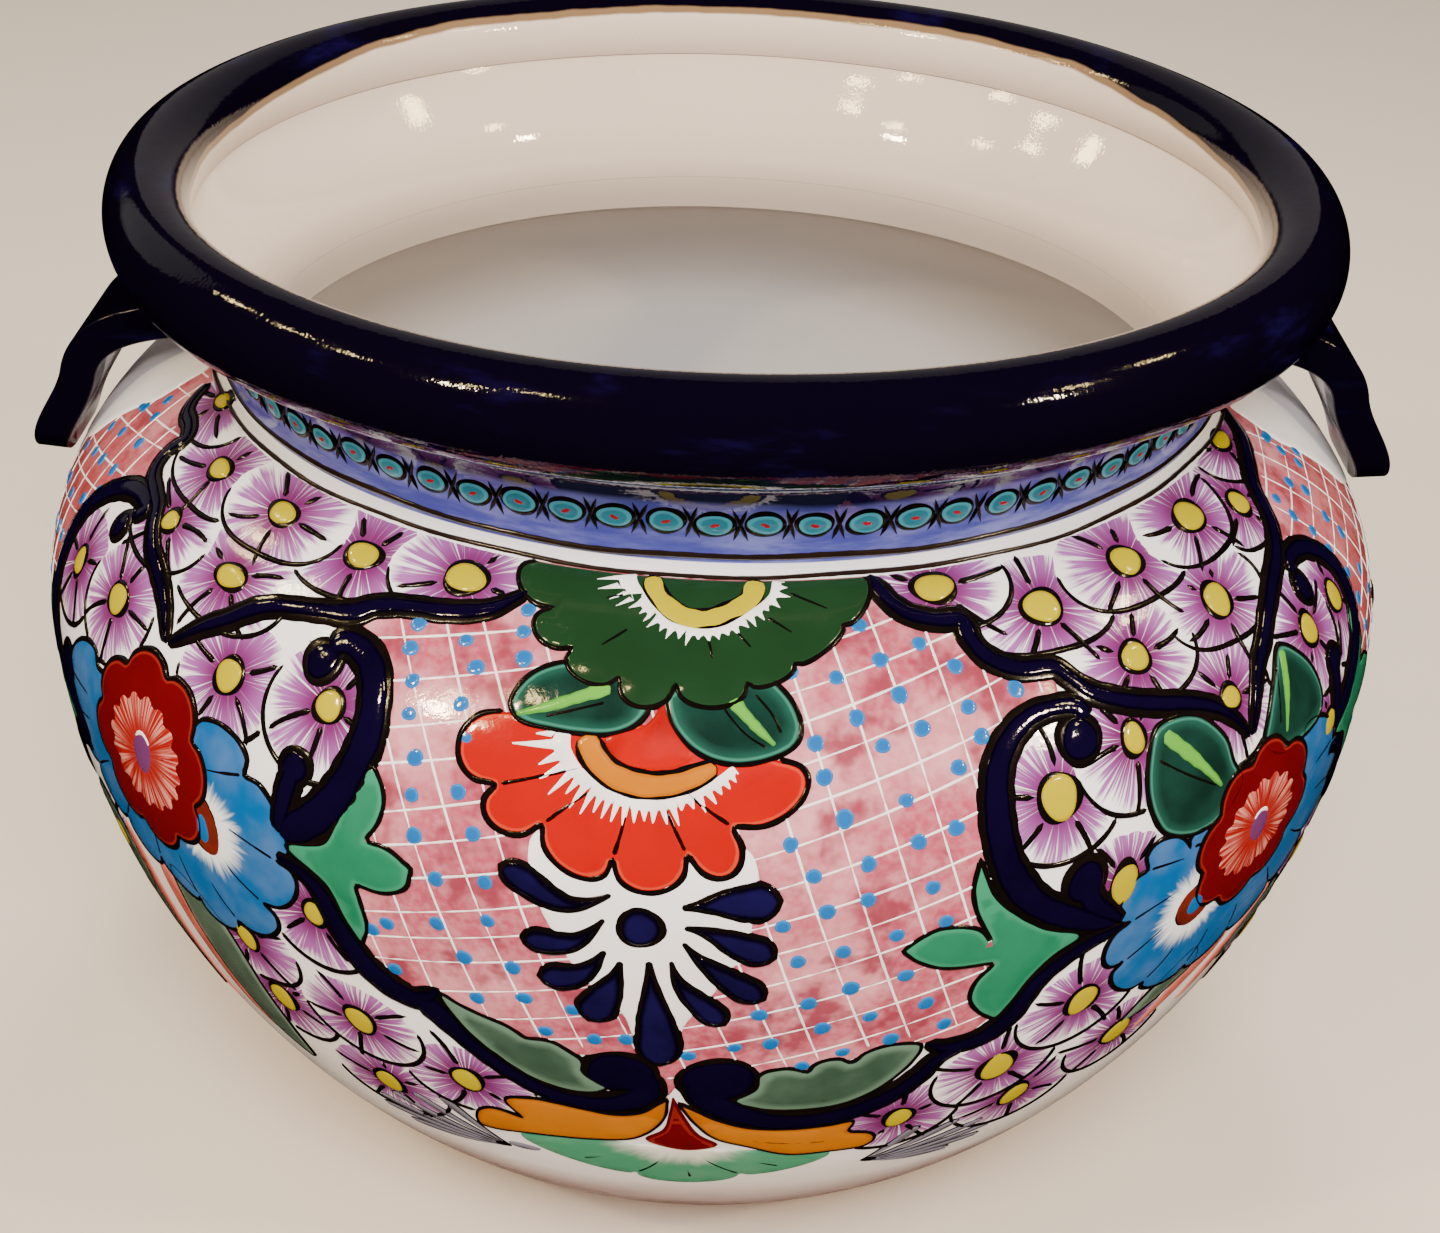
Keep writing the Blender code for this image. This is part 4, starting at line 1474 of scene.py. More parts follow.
# %% Shapes of the orange half flower
ORANGE = Coat("orange_flowers", "orange")
AMBER = Coat("amber_leaves", "amber")
SCARLET = Coat("scarlet_wedges", "scarlet")
ORANGE_NOTCHES = [
    (-15.3, 47.8), (-14.9, 67.5), (-11.2, 76), (-6.1, 83), (-1, 80.5), (2.1, 72.5), (5.2, 54.6)]
ORANGE_TIPS = [(-18.2, 59), (-14.6, 78.5), (-8.8, 88.5), (-3.3, 91.5), (2, 85.5), (6.9, 65)]
RED_WEDGE = [
    (-3.3, 38), (-3.3, 38), (-3.9, 42.9), (-4.7, 46.7), (-6.5, 48.8), (-7.6, 51), (-7, 55.1),
    (-5.7, 58), (-4.2, 58.6), (-2.2, 57.8), (-0.9, 54.7), (-1.6, 50.3), (-2.7, 44.8)]
LEAF_WEST = [
    (-9.6, 31), (-12, 32.4), (-13.8, 36), (-14.8, 41), (-15, 46), (-14, 49.6), (-11.6, 50.6),
    (-9.4, 50.8), (-7, 50), (-5.2, 46.6), (-4.4, 41), (-6, 34)]
LEAF_EAST = [
    (-3, 37), (-2.9, 44), (-1.7, 50.3), (0, 54.4), (2, 56), (4.2, 55), (6.2, 52), (7, 48),
    (6.8, 42), (5.8, 36), (4, 31.5)]
WHITE_FAN = [
    (-11.6, 78), (-12, 86), (-11.4, 93), (-11, 100), (-10, 108), (-8.8, 117.7), (-7.2, 126.7),
    (-5.2, 135.3), (-4.2, 145.6), (-1.6, 145.6), (-0.6, 136.3), (0.8, 127.6), (2, 117.9),
    (3.4, 108), (3.6, 99), (4, 88), (3, 78), (-5, 70)]


print("the orange flower has", len(ORANGE_TIPS), "petals")

# %% [markdown]
# ## Orange half flower
# The petals go on first, then the heart and the amber bow with its white rays, and
# the two leaves with their light midribs last.

# %% Orange half flower
def midrib(points, line):
    """A light green rib with a thin black line beside it."""
    trail(RIB, points, 0.80)
    trail(BLACK, line, 0.84, 1.2)


def middle_motifs(turn):
    flower = lobed(moved(ORANGE_NOTCHES, turn), moved(ORANGE_TIPS, turn),
                   moved([(0, 48), (-6, 46)], turn))
    pool(ORANGE, flower, 0.52)
    outlined(lobed(moved(ORANGE_NOTCHES, turn), moved(ORANGE_TIPS, turn)), 0.70, 2.3, closed=False)
    cut_lines((-4.6 + turn, 54), moved(ORANGE_NOTCHES[1:-1], turn), 0.66, 1.5, 0.66)
    pool(SCARLET, ring_of(moved(RED_WEDGE, turn)), 0.70)
    bow = moved([(-8.9, 50.4, 7.5), (-8.2, 55.6, 7.5), (-6.9, 60, 7.5), (-5.4, 62, 7.5),
                 (-3.8, 62.6, 7.2), (-2.1, 61.6, 6.8), (-0.6, 59.4, 6), (0.9, 56.4, 4)], turn)
    trail(AMBER, bow, 0.90, wander=0.05)
    trail(UNDER, [(t, d, w + 2.4) for t, d, w in bow], 0.78, wander=0.05)
    ray_fan(moved([(-10.4, 50.4, 17), (-10.2, 55, 14), (-9.2, 60, 11), (-7.4, 64.5, 9),
                   (-5.4, 66.6, 8.5), (-3.2, 67, 8), (-0.8, 64.2, 6), (1, 60.5, 5.5),
                   (2.2, 57, 5)], turn), 0.62)
    for shape in (LEAF_WEST, LEAF_EAST):
        leaf(LEAF, moved(shape, turn), 0.64, 1.9)
    midrib(moved([(-14.6, 48.4, 1.6), (-12, 44.6, 3.4), (-9.6, 40.6, 4.6), (-7.4, 37, 5.4)], turn),
           moved([(-12.4, 47.8), (-10, 44.6), (-7.6, 41.4)], turn))
    midrib(moved([(1.4, 36.6, 4.8), (2.5, 41.5, 4.4), (3.8, 46.6, 3.2), (5.2, 51.6, 1.2)], turn),
           moved([(3.4, 36.4), (4.8, 42.4), (5.6, 48.6)], turn))
    trail(BLACK, moved([(0.7, 38), (1.6, 43), (3, 48.4), (4.6, 52)], turn), 0.82, 1.1)


middle_motifs(0)
print(ORANGE, AMBER, SCARLET, LEAF, sep=", ")

# %% [markdown]
# ## Fan of navy drops
# A drop is one press of a loaded brush that is lifted as it moves: round where it
# lands and pointed where it leaves. Nine of them fan out below the orange flower.

# %% Fan of navy drops
DROP_SHAPE = ((0, 0.12, 0.25, 0.45, 0.68, 0.86, 1), (0.62, 0.93, 1.0, 0.86, 0.52, 0.24, 0.12))
DROPS = [  # width, then the line from the round end to the tip
    (9.0, [(-13.6, 89.6), (-12.2, 91.9), (-10.6, 95.5), (-8.9, 97.4), (-7.3, 95.7), (-5.9, 92.6)]),
    (8.6, [(-12, 110.6), (-10.2, 110.9), (-8.7, 109.7), (-7.6, 106.4), (-6.4, 100.3)]),
    (9.6, [(-10.8, 123.6), (-8.8, 122.2), (-7.4, 117.9), (-6.3, 110.6)]),
    (11.5, [(-7.5, 137), (-6.6, 129.4), (-5.7, 120.7), (-5.3, 114)]),
    (12.5, [(-2.6, 154), (-2.7, 143), (-3, 131.9), (-3.2, 122.6), (-3.4, 113)]),
    (8.6, [(1.8, 136), (0.5, 129.8), (-0.8, 123.9), (-1.5, 119), (-1.9, 112.5)]),
    (9.2, [(4.4, 126), (2.5, 120.6), (0.9, 115.1), (-0.2, 111.1), (-1.2, 106)]),
    (10.0, [(4.9, 110.8), (2.9, 107.4), (1.3, 104.2), (0, 102.3), (-1.2, 101.6)]),
    (11.6, [(5, 93), (3.2, 93.6), (1.5, 93.8), (0.1, 94.6), (-1.4, 95.6)])]
INK = Coat("navy_drops", "ink")


def drop(coat, width, points, height=1.0, outline=1.3):
    """A brush drop: trailed twice, black and then its colour inside."""
    placed = np.array(points, dtype=float)
    middle = placed[:, 0].mean()
    line = flow(to_flat(placed, middle))
    back = (line[0] - line[1]) / max(lengths(line)[1], 0.1)
    line = np.vstack((line[0] + back * 0.2 * width, line))
    whole = lengths(line)[-1]
    for ink, inset, last, lift in ((UNDER, 0.0, 1.0, height - 0.28), (coat, outline, 0.9, height)):
        way = np.linspace(inset / whole, last, 9)
        size = np.maximum(1.2 * width * np.interp(way, *DROP_SHAPE) - 2 * inset, 0.7)
        spots = to_pot(resampled(line, way * whole), middle)
        trail(ink, np.column_stack((spots, size)), lift, wander=0.03)


for turn in (0, 90):
    pool(WHITES, ring_of(moved(WHITE_FAN, turn)), 0.44)
    for width, points in DROPS:
        drop(INK, width, moved(points, turn))
    dab(UNDER, -4 + turn, 102.7, 7.3, 7.4, 0.72)
    dab(INK, -4 + turn, 102.7, 5.8, 5.9, 1.0)
print(INK, WHITES, sep=", ")

# %% [markdown]
# ## Shapes below the scrolls
# Two amber leaves lie below the scrolls, with a red wedge between them.

# %% Shapes below the scrolls
AMBER_WEST = [
    (-2, 173.6), (-2, 173.6), (-2.2, 183.9), (-3.3, 193.3), (-5.1, 200.4), (-8.3, 203.8),
    (-11.2, 205.8), (-14.3, 208.2), (-17.2, 210.9), (-18.6, 210), (-18.2, 200), (-16.6, 195),
    (-14.1, 196.9), (-14.1, 196.9), (-15.2, 187), (-12.7, 182.7), (-10.5, 183), (-8.3, 184.2),
    (-6.2, 185.1), (-4.1, 182.6), (-2.8, 177)]
AMBER_EAST = [
    (-1.1, 175.5), (-1.1, 175.5), (0.1, 186.4), (1.9, 196.9), (4.7, 203), (8.3, 210.4),
    (11.8, 210.7), (14.9, 210), (15.6, 205.3), (14.9, 200.3), (12.8, 197), (12.8, 197),
    (13, 190), (11, 191), (7.7, 191.5), (4.4, 189.6), (1.8, 184.4), (0.1, 179)]
WEDGE = [
    (-1.6, 171.2), (-1.6, 171.2), (-1.9, 182.1), (-2.4, 192.8), (-3.9, 200.2), (-2, 205.3),
    (0, 206.5), (2.2, 202.4), (0.6, 195.3), (-0.5, 184.9)]
print("points of the amber leaves:", len(AMBER_WEST), "and", len(AMBER_EAST))

# %% [markdown]
# ## Bottom of each panel
# The leaves and the wedge are filled, and a pale green half flower and two fans of
# thin slate drops close the panel below.

# %% Bottom of each panel
CRIMSON = Coat("crimson_flowers", "crimson")
PALE = Coat("pale_green_flowers", "pale_green")
SLATE = Coat("slate_drops", "slate")
for turn in (0, 90):
    pool(CRIMSON, ring_of(moved(WEDGE, turn)), 0.60)
    for shape in (AMBER_WEST, AMBER_EAST):
        filled(AMBER, ring_of(moved(shape, turn)), 0.66, 0.78, 1.4)
    trail(BLACK, moved([(4, 197), (7.5, 201), (11.5, 202)], turn), 0.78, 0.9)
    pool(PALE, lobed(moved([(-15, 211), (-5, 230), (4.5, 227.5), (12, 212)], turn),
                     moved([(-10.6, 226.5), (-0.5, 238.5), (9.2, 224.5)], turn),
                     moved([(6, 207), (0, 205), (-8, 204)], turn)), 0.42, root=(-1 + turn, 196))
    cut_lines((-1 + turn, 204), moved([(-5, 230), (4.5, 227.5)], turn), 0.8, 1.1, 0.6)
    cut_lines((-1 + turn, 204), moved([(-10, 222), (0, 232), (8, 221)], turn), 0.35, 0.9, 0.6)
    for base, tips in (((-16.5, 226), [(-21.6, 198.5), (-24.6, 203), (-27.4, 209.5), (-29.4, 217),
                                       (-29.8, 225), (-27.6, 232.5)]),
                       ((15.5, 226), [(19.4, 202.5), (23.4, 205.5), (26.4, 211.5), (28, 219),
                                      (27.6, 227), (25, 233)])):
        for tip in tips:
            middle = ((tip[0] + base[0]) / 2, (tip[1] + base[1]) / 2 + 1.5)
            drop(SLATE, 4.4, moved([tip, middle, base], turn), 0.5, 0.6)
    dab(SLATE, -15.2 + turn, 222.5, 5.5, 2.0, 0.6)
print(CRIMSON, PALE, SLATE, sep=", ")

# %% [markdown]
# ## A big flower
# Each has blue petals with white brush rays, a scalloped crimson flower on top
# and a ring of pale rays round a mauve centre.

# %% A big flower
BLUE = Coat("blue_petals", "blue")
RING = Coat("pink_ray_rings", "ray_ring")
MAUVE = Coat("mauve_centres", "mauve")
RUST = Coat("rust_crescents", "rust")
SKY = Coat("crescent_drops", "dot")


def scalloped(turn, down, radius, lobes, start):
    """A round flower's outline whose petals are bumps on a circle."""
    a = np.linspace(0, 2 * math.pi, lobes * 14, endpoint=False)
    bump = np.abs(np.sin(lobes * (a - math.radians(start)) / 2)) ** 0.6
    r = radius * (0.83 + 0.17 * bump) * (1 + 0.03 * np.sin(2 * a + turn))
    return to_pot(np.column_stack((r * np.cos(a), down + r * np.sin(a))), turn)


def big_flower(turn, down, radius, lobes, start, ring, heart, petals, crescent):
    notches, tips = petals
    blue = lobed(notches, tips)
    filled(BLUE, blue, 0.50, 0.68, 2.0, root=crescent[0][:2])
    cut_lines((turn, down), notches[1:-1], 0.34, 1.4, 0.66)
    (c_turn, c_down, c_rx, c_ry), (d_turn, d_down, d_rx, d_ry) = crescent
    dab(UNDER, c_turn, c_down, c_rx + 0.8, c_ry + 0.8, 0.62)
    dab(RUST, c_turn, c_down, c_rx, c_ry, 0.70)
    dab(SKY, d_turn, d_down, d_rx, d_ry, 0.80)
    red = scalloped(turn, down, radius, lobes, start)
    filled(CRIMSON, red, 0.74, 0.90, 2.2)
    k = degree_at(down)
    edge = scalloped(turn, down, 1.0, 2 * lobes, start) - (turn, down)
    edge[:, 0] *= ring[0]
    edge[:, 1] *= ring[1]
    pool(RING, edge + (turn, down), 0.84, root=(turn, down))
    for i in range(lobes + 3):
        a = math.radians(start + 360 * i / (lobes + 3) + draw.uniform(-9, 9))
        reach = ((heart[1] + 0.6, 1.5), (ring[0] * draw.uniform(0.6, 0.85), 0.6))
        trail(BLACK, [(turn + r * math.cos(a) / k, down + r * math.sin(a), w) for r, w in reach],
              0.92, step=3)
    dab(BLACK, turn, down, heart[0] + 1.2, heart[1] + 1.2, 0.90)
    dab(MAUVE, turn, down, heart[0], heart[1], 1.0)
    cap = [(turn + 0.8 * heart[0] * math.cos(a) / k, down + 0.8 * heart[1] * math.sin(a), w)
           for a, w in ((-2.6, 0.8), (-2.1, 2.2), (-1.57, 2.6), (-1.0, 2.2), (-0.55, 0.8))]
    trail(WHITES, cap, 1.05)
    return blue, red


print("a scalloped outline has", len(scalloped(0, 100, 30, 8, 0)), "points")

# %% [markdown]
# ## The two big flowers
# They sit on the belly between the panels. The petals are given by the notches
# between them and by their tips.

# %% The two big flowers
LEFT_NOTCHES = [
    (-41, 82), (-35, 87), (-31.8, 110), (-33.9, 129.6), (-37.6, 144.7), (-42.4, 145.6),
    (-47.3, 141), (-52.4, 136.3), (-56.8, 126.7), (-60.8, 114), (-60.8, 101), (-54.8, 88)]
LEFT_TIPS = [
    (-37.2, 77), (-31.2, 97), (-30.4, 119.9), (-33.5, 141), (-40, 152.1), (-44.8, 147.5),
    (-50, 145.6), (-55.6, 137.2), (-60.6, 123.8), (-62.8, 107), (-58.8, 86)]
RIGHT_NOTCHES = [
    (40, 101), (37.9, 103.6), (33.7, 105), (32.9, 122.8), (33.4, 140), (37, 155.7),
    (42.4, 160.2), (47.6, 155.7), (53, 148.4), (57.4, 137.2), (60, 121.8), (58.6, 104), (52, 92)]
RIGHT_TIPS = [
    (38.4, 99), (34.8, 96.5), (31.6, 114), (31.2, 133.4), (33.6, 151.2), (39.4, 162.8),
    (45.2, 162.8), (51, 157.5), (56.4, 147.5), (60.4, 131.5), (61, 112), (55.6, 90)]
left_blue, left_red = big_flower(-46.7, 100.5, 31.5, 8, 12, (20.5, 19), (6.2, 8.2),
                                 (LEFT_NOTCHES, LEFT_TIPS),
                                 ((-39.4, 111.5, 7.4, 12.5), (-39.5, 112.5, 3.4, 7)))
right_blue, right_red = big_flower(46.3, 110.5, 28.5, 8, 30, (19.5, 17.5), (5.7, 7),
                                   (RIGHT_NOTCHES, RIGHT_TIPS),
                                   ((40.1, 128.1, 9.5, 10), (40.1, 128.2, 5, 5.2)))
print(BLUE, RING, MAUVE, RUST, SKY, sep=", ")

# %% [markdown]
# ## Long leaves under the big flowers
# Coral and dusky green leaves hang side by side below each big flower and follow
# the belly down. The hidden sides repeat them further round.

# %% Long leaves under the big flowers
CORAL = Coat("coral_leaves", "coral")
DUSK = Coat("lower_leaves", "dusk")
CORAL_LEFT = [
    (-48.2, 143), (-46.4, 148), (-45, 160), (-43.8, 176), (-42.2, 196), (-40.8, 209),
    (-43.6, 200), (-45.8, 182), (-47.6, 164), (-48.6, 150)]
GREEN_LEFT = [
    (-46, 141), (-43.2, 142.5), (-40.5, 149.7), (-39.1, 160.5), (-38.2, 175.2), (-37.2, 193),
    (-37, 214.7), (-40.5, 206), (-42.6, 190), (-44.4, 172), (-45.6, 156)]
CORAL_RIGHT = [
    (48.4, 152), (46.4, 158), (43.6, 166), (41.4, 176), (40, 189), (42, 184), (45, 174),
    (48, 164)]
GREEN_RIGHT = [
    (43, 153), (40.8, 157.5), (39, 164), (37.6, 171), (37, 177), (39.6, 174.5), (42, 169),
    (44, 163)]
for points in (CORAL_LEFT, CORAL_RIGHT, moved(CORAL_LEFT, -6), moved(CORAL_RIGHT, 6)):
    pool(CORAL, ring_of(points), 0.40)
for points in (GREEN_LEFT, GREEN_RIGHT, moved(GREEN_LEFT, -14), moved(GREEN_RIGHT, 13)):
    filled(DUSK, ring_of(points), 0.46, 0.58, 1.1)
print(CORAL, DUSK, sep=", ")

# %% [markdown]
# ## The violet flowers
# They fill the white ground like fish scales: each lies over the ones below it,
# and a black arc closes its lower half. A flower that lies under another, or
# under a panel, is cut where it goes out of sight.

# %% Violet flowers
VIOLETS_LEFT = [
    (-66.2, 3, 5, 3), (-55.6, 15.9, 5.7, 3.7), (-44, 15.1, 6, 3.9), (-33, 16.1, 6, 4.3),
    (-22.4, 13.4, 6.6, 5), (-55.3, 37, 4.4, 3.8), (-44.1, 38.6, 6.3, 4), (-64.4, 69.7, 4.4, 5),
    (-55.2, 65.4, 6, 5), (-39, 62.9, 5.2, 5.6), (-29.2, 59, 4.6, 5), (-28.9, 124.1, 4, 4.6),
    (-37.3, 151.1, 4.5, 5.5), (-27, 166.6, 5.6, 6.3), (-35.6, 175.3, 5.5, 6.5),
    (-18.2, 180.8, 5, 6.5), (-26.8, 200.7, 5, 7), (-58, 158, 5, 6), (-68.5, 170, 5, 6),
    (-59.5, 186, 5.5, 6.5), (-69, 201, 5, 6), (-78, 188, 5, 6)]
VIOLETS_RIGHT = [
    (20.4, 9.6, 6.3, 4.8), (29.7, 21.7, 6.3, 5.6), (40.7, 16.9, 6, 5), (51.8, 14.3, 7, 5.3),
    (59.6, 21.1, 5, 4.5), (66.9, 5.4, 6, 3.5), (36.1, 43.3, 5.5, 4.5), (47.6, 39, 5.6, 6),
    (26, 74, 6.5, 7), (33.3, 64.3, 4.2, 5), (43.9, 65.4, 4.5, 4), (57, 63.7, 5, 5.5),
    (63.6, 64, 5, 5.5), (31.6, 107, 5, 8), (57.6, 96, 5, 5), (30.5, 151.3, 5.8, 6.5),
    (24.4, 173.7, 6, 7.3), (17, 192.7, 4.6, 6), (37.2, 181.5, 6, 7), (28.1, 197.4, 5, 7),
    (61.5, 156, 5, 6), (70, 175, 5, 6), (58, 184, 5.5, 6.5), (66.5, 199, 5, 6), (77, 193, 5, 6)]
VIOLET = Coat("violet_petals", "violet")
VIOLET_WIDE = 26.5
VIOLET_ROOM = 7.5
VIOLET_NEAR = 40
WAYS = 72
STEPS = 28
RINGS = 5
covers = [front_panel, side_panel, side_panel - (180, 0),
          left_blue, right_blue, left_red, right_red]
for points in (LEAF_LEFT, LEAF_RIGHT, AMBER_WEST, AMBER_EAST, GREEN_LEFT, GREEN_RIGHT,
               CORAL_LEFT, CORAL_RIGHT, FEATHER_LEFT, FEATHER_RIGHT):
    covers.append(ring_of(points))
print(len(VIOLETS_LEFT + VIOLETS_RIGHT), "violets under", len(covers), "shapes")

# %% [markdown]
# ## Room for a violet
# A flower spreads until it meets a neighbour. `petal_reach` gives its size each
# way, and `open_runs` keeps what is left of a line where it comes into sight.

# %% Room for a violet
def open_runs(spots, extra=()):
    """Split a line where it passes under something that covers it."""
    hidden = spots[:, 1] < 3.6
    for cover in list(covers) + list(extra):
        hidden = hidden | within(cover, spots[:, :2])
    return [spots[a:b] for a, b in runs(~hidden) if b - a > 2]


def petal_reach(index, placed):
    """How far a flower spreads each way, kept clear of its neighbours' centres."""
    turn, down = placed[index]
    k = degree_at(down)
    others = np.delete(placed, index, axis=0)
    away = np.column_stack(((others[:, 0] - turn) * k, others[:, 1] - down))
    gaps = np.hypot(*away.T)
    a = np.arange(WAYS) / WAYS * 2 * math.pi
    way = np.column_stack((np.cos(a), np.sin(a)))
    upper = down < 50
    wide, tall_below = (VIOLET_WIDE, 14.0) if upper else (21.0, 21.0)
    tall = np.where(way[:, 1] > 0, tall_below, 17.5)
    reach = draw.uniform(0.95, 1.05) / np.hypot(way[:, 0] / wide, way[:, 1] / tall)
    reach *= 1 + 0.05 * np.sin(2 * a + index)
    for to, gap in zip(away, gaps):
        if gap < VIOLET_WIDE + VIOLET_ROOM:
            slope = way @ (to / gap)
            limit = (gap - VIOLET_ROOM) / np.maximum(slope, 0.3)
            reach = np.where(slope > 0.3, np.minimum(reach, limit), reach)
    soft = sum(np.roll(reach, shift) for shift in range(-5, 6)) / 11
    room = np.where(way[:, 1] < -0.05, (down - 3.3) / np.maximum(-way[:, 1], 0.05), 99)
    return way, np.minimum(soft, np.maximum(room, 2))


print("an outline is measured in %d ways" % WAYS)

# %% [markdown]
# ## A violet
# A flower is a low wheel of glaze whose colour runs out in hairs, a yellow eye
# with a black border, five strokes that curve outwards and an arc below.

# %% A violet
def violet_flower(index, placed, sizes, shapes):
    turn, down = placed[index]
    rx, ry = sizes[index]
    k = degree_at(down)
    way, reach, _ = shapes[index]
    over = [shape[2] for (t, d), shape in zip(placed, shapes)
            if 0 < down - d < VIOLET_NEAR and abs(t - turn) * k < VIOLET_NEAR]
    steps = np.linspace(0.1, 1.0, STEPS)
    full = way * reach[:, None]
    spots = (turn, down) + (full[:, None] * steps[:, None] / (k, 1)).reshape(-1, 2)
    hidden = np.zeros(len(spots), dtype=bool)
    for cover in over:
        hidden |= within(cover, spots)
    hidden = hidden.reshape(WAYS, STEPS)
    first = np.where(hidden.any(axis=1), steps[np.argmax(hidden, axis=1)], 1.0)
    seen = reach * np.maximum(first, 0.2)
    shares = np.linspace(0, 1, RINGS + 1)[1:]
    rings = np.concatenate(([0.0], np.repeat(shares, WAYS)))
    flat = np.vstack(([(0.0, 0.0)], np.tile(way * seen[:, None], (RINGS, 1)))) * rings[:, None]
    brush = np.column_stack((flat, (1 - rings) * 10))
    VIOLET.add(flat + (0, down), turn, np.where(rings < 1, 0.12, -0.03), brush,
               *wheel_faces(RINGS, WAYS))
    dab(BLACK, turn, down, rx + 0.9, ry + 0.9, 0.55, uneven=0.05)
    dab(YELLOW, turn, down, rx - 0.3, ry - 0.3, 0.80, uneven=0.04)
    turned = draw.uniform(0, 70)
    for i in range(5):
        b = math.radians(turned + 72 * i + draw.uniform(-12, 12))
        bend = draw.uniform(-0.16, 0.16)
        start = 1 / math.hypot(math.cos(b) / rx, math.sin(b) / ry) + draw.uniform(0.4, 2)
        s = np.linspace(0, 1, 7)
        r = start + draw.uniform(12, 17) * s
        line = np.column_stack((turn + r * np.cos(b + bend * s * s) / k,
                                down + r * np.sin(b + bend * s * s), 2.3 - 0.7 * s))
        for run in open_runs(line, over):
            trail(BLACK, run, 0.50, wander=0.1, step=2.5)
    low, high = draw.uniform(-22, 8), draw.uniform(168, 198)
    b = np.radians(np.linspace(low, high, 60))
    angles = np.arange(WAYS + 1) / WAYS * 2 * math.pi
    r = np.interp(b % (2 * math.pi), angles, np.append(reach, reach[0])) * 0.985
    arc = np.column_stack((turn + r * np.cos(b) / k, down + r * np.sin(b),
                           0.8 + 1.2 * np.sin(np.linspace(0.15, 0.95, 60) * math.pi)))
    for run in open_runs(arc, over):
        trail(BLACK, run[::3] if len(run) > 9 else run, 0.52, wander=0.1)


print("a violet is a wheel of %d faces" % (WAYS * RINGS))

# %% [markdown]
# ## Paint the violets
# All outlines of one side are measured first, because each flower must know what
# lies over it. Then the flowers are painted one by one.

# %% Paint the violets
for listed in (VIOLETS_LEFT, VIOLETS_RIGHT):
    placed = np.array([v[:2] for v in listed], dtype=float)
    sizes = [v[2:] for v in listed]
    shapes = []
    for index, (turn, down) in enumerate(placed):
        way, reach = petal_reach(index, placed)
        k = degree_at(down)
        shapes.append((way, reach, (turn, down) + way * reach[:, None] / (k, 1)))
    for index in range(len(listed)):
        violet_flower(index, placed, sizes, shapes)
print(VIOLET, YELLOW, BLACK, sep=", ")

# %% [markdown]
# ## White ground under the straps
# Where a strap meets the shoulder, the painter leaves a white patch in the lattice.

# %% White ground under the straps
pool(WHITES, ring_of([(75.6, 3.4), (75.2, 12), (75.6, 23.3), (77, 30), (79.6, 43.2), (82.1, 56.7),
                      (86, 65), (90, 67), (94, 65), (97.9, 56.7), (100.4, 43.2), (103, 30),
                      (104.4, 23.3), (104.8, 12), (104.4, 3.4), (90, 3.3)]), 0.62)
print(WHITES)

# %% [markdown]
# ## The neck band
# Two lines part the neck from the body. Above them runs a chain of turquoise
# beads with a red dash in each and a black cross between them.

# %% Neck band
BROWN = Coat("neck_lines", "brown")
BEADS = Coat("turquoise_beads", "turquoise")
DASHES = Coat("red_dashes", "red")
CHAIN = Coat("bead_outlines", "black")
BEAD_COUNT = 76
BEAD_DOWN = -13.0
around = np.arange(0, 360, 2.0)
for down, width in ((-2.5, 1.8), (2.4, 1.5)):
    wave = 0.35 * np.sin(np.radians(around) * 9 + down) + 0.2 * np.sin(np.radians(around) * 23)
    ring = np.column_stack((np.append(around, around + 360), np.append(down + wave, down + wave)))
    for first in range(0, 180, 30):
        trail(BROWN, ring[first:first + 32], 0.75, width, wander=0.2, step=4)
for i in range(BEAD_COUNT):
    turn = i * 360 / BEAD_COUNT + draw.uniform(-0.25, 0.25)
    down = BEAD_DOWN + draw.uniform(-0.5, 0.5)
    rx, ry = draw.uniform(4.7, 5.4), draw.uniform(3.1, 3.7)
    dab(CHAIN, turn, down, rx + 0.9, ry + 0.9, 0.55)
    dab(BEADS, turn, down, rx, ry, 0.80)
    dab(DASHES, turn, down, 1.7, 0.8, 1.0, tilt=draw.uniform(-30, 30))
    half = 180 / BEAD_COUNT
    for lean in (-1, 1):
        tilt = draw.uniform(0.5, 0.9) * lean
        trail(CHAIN, [(turn + half + tilt * s, down + 5.2 * s) for s in (-1, 0, 1)], 0.78, 1.2,
              step=3)
print(BROWN, BEADS, DASHES, CHAIN, sep=", ")

# %% [markdown]
# ## Tint near the foot
# Below the flowers the white glaze turns pinkish grey towards the foot. It is a plain band, one
# grid of faces half way round.

# %% Tint near the foot
FOOT_BAND = Coat("foot_tint", "foot")
TINT_FROM, TINT_TO = 238, 302
columns, rows = np.meshgrid(np.linspace(0, 180, 100), np.linspace(TINT_FROM, TINT_TO, 16))
band = np.column_stack((columns.ravel(), rows.ravel()))
flat_band = to_flat(band, 90)
FOOT_BAND.add(flat_band, 90, np.where(band[:, 1] > TINT_FROM, 0.14, -0.03),
              np.column_stack((flat_band, np.full(len(band), 5.0))), grid_faces(*columns.shape))
print(FOOT_BAND)

# %% [markdown]
# ## Lay the painting on the pot
# The half of the pattern that the photograph shows is laid twice, at the front
# and turned by half a turn at the back. The neck band already goes all round.

# %% Lay the painting
for coat in (VIOLET, FOOT_BAND, PINK, LATTICE, DOTS, WHITES, FOREST, ORANGE, SCARLET, AMBER,
             YELLOW, RAYS, PALE, SLATE, SEA, FEATHER, LEAF, RIB, BLUE, CRIMSON, RING, MAUVE,
             RUST, SKY, CORAL, DUSK, UNDER, INK, NAVY, BLACK):
    coat.lay((0, 180))
for coat in (BROWN, BEADS, DASHES, CHAIN):
    coat.lay((0,))

# %% [markdown]
# ## Camera
# The camera stands where the photograph was taken from. Its place and turn were
# solved from the outlines of the rim, the neck and the belly.

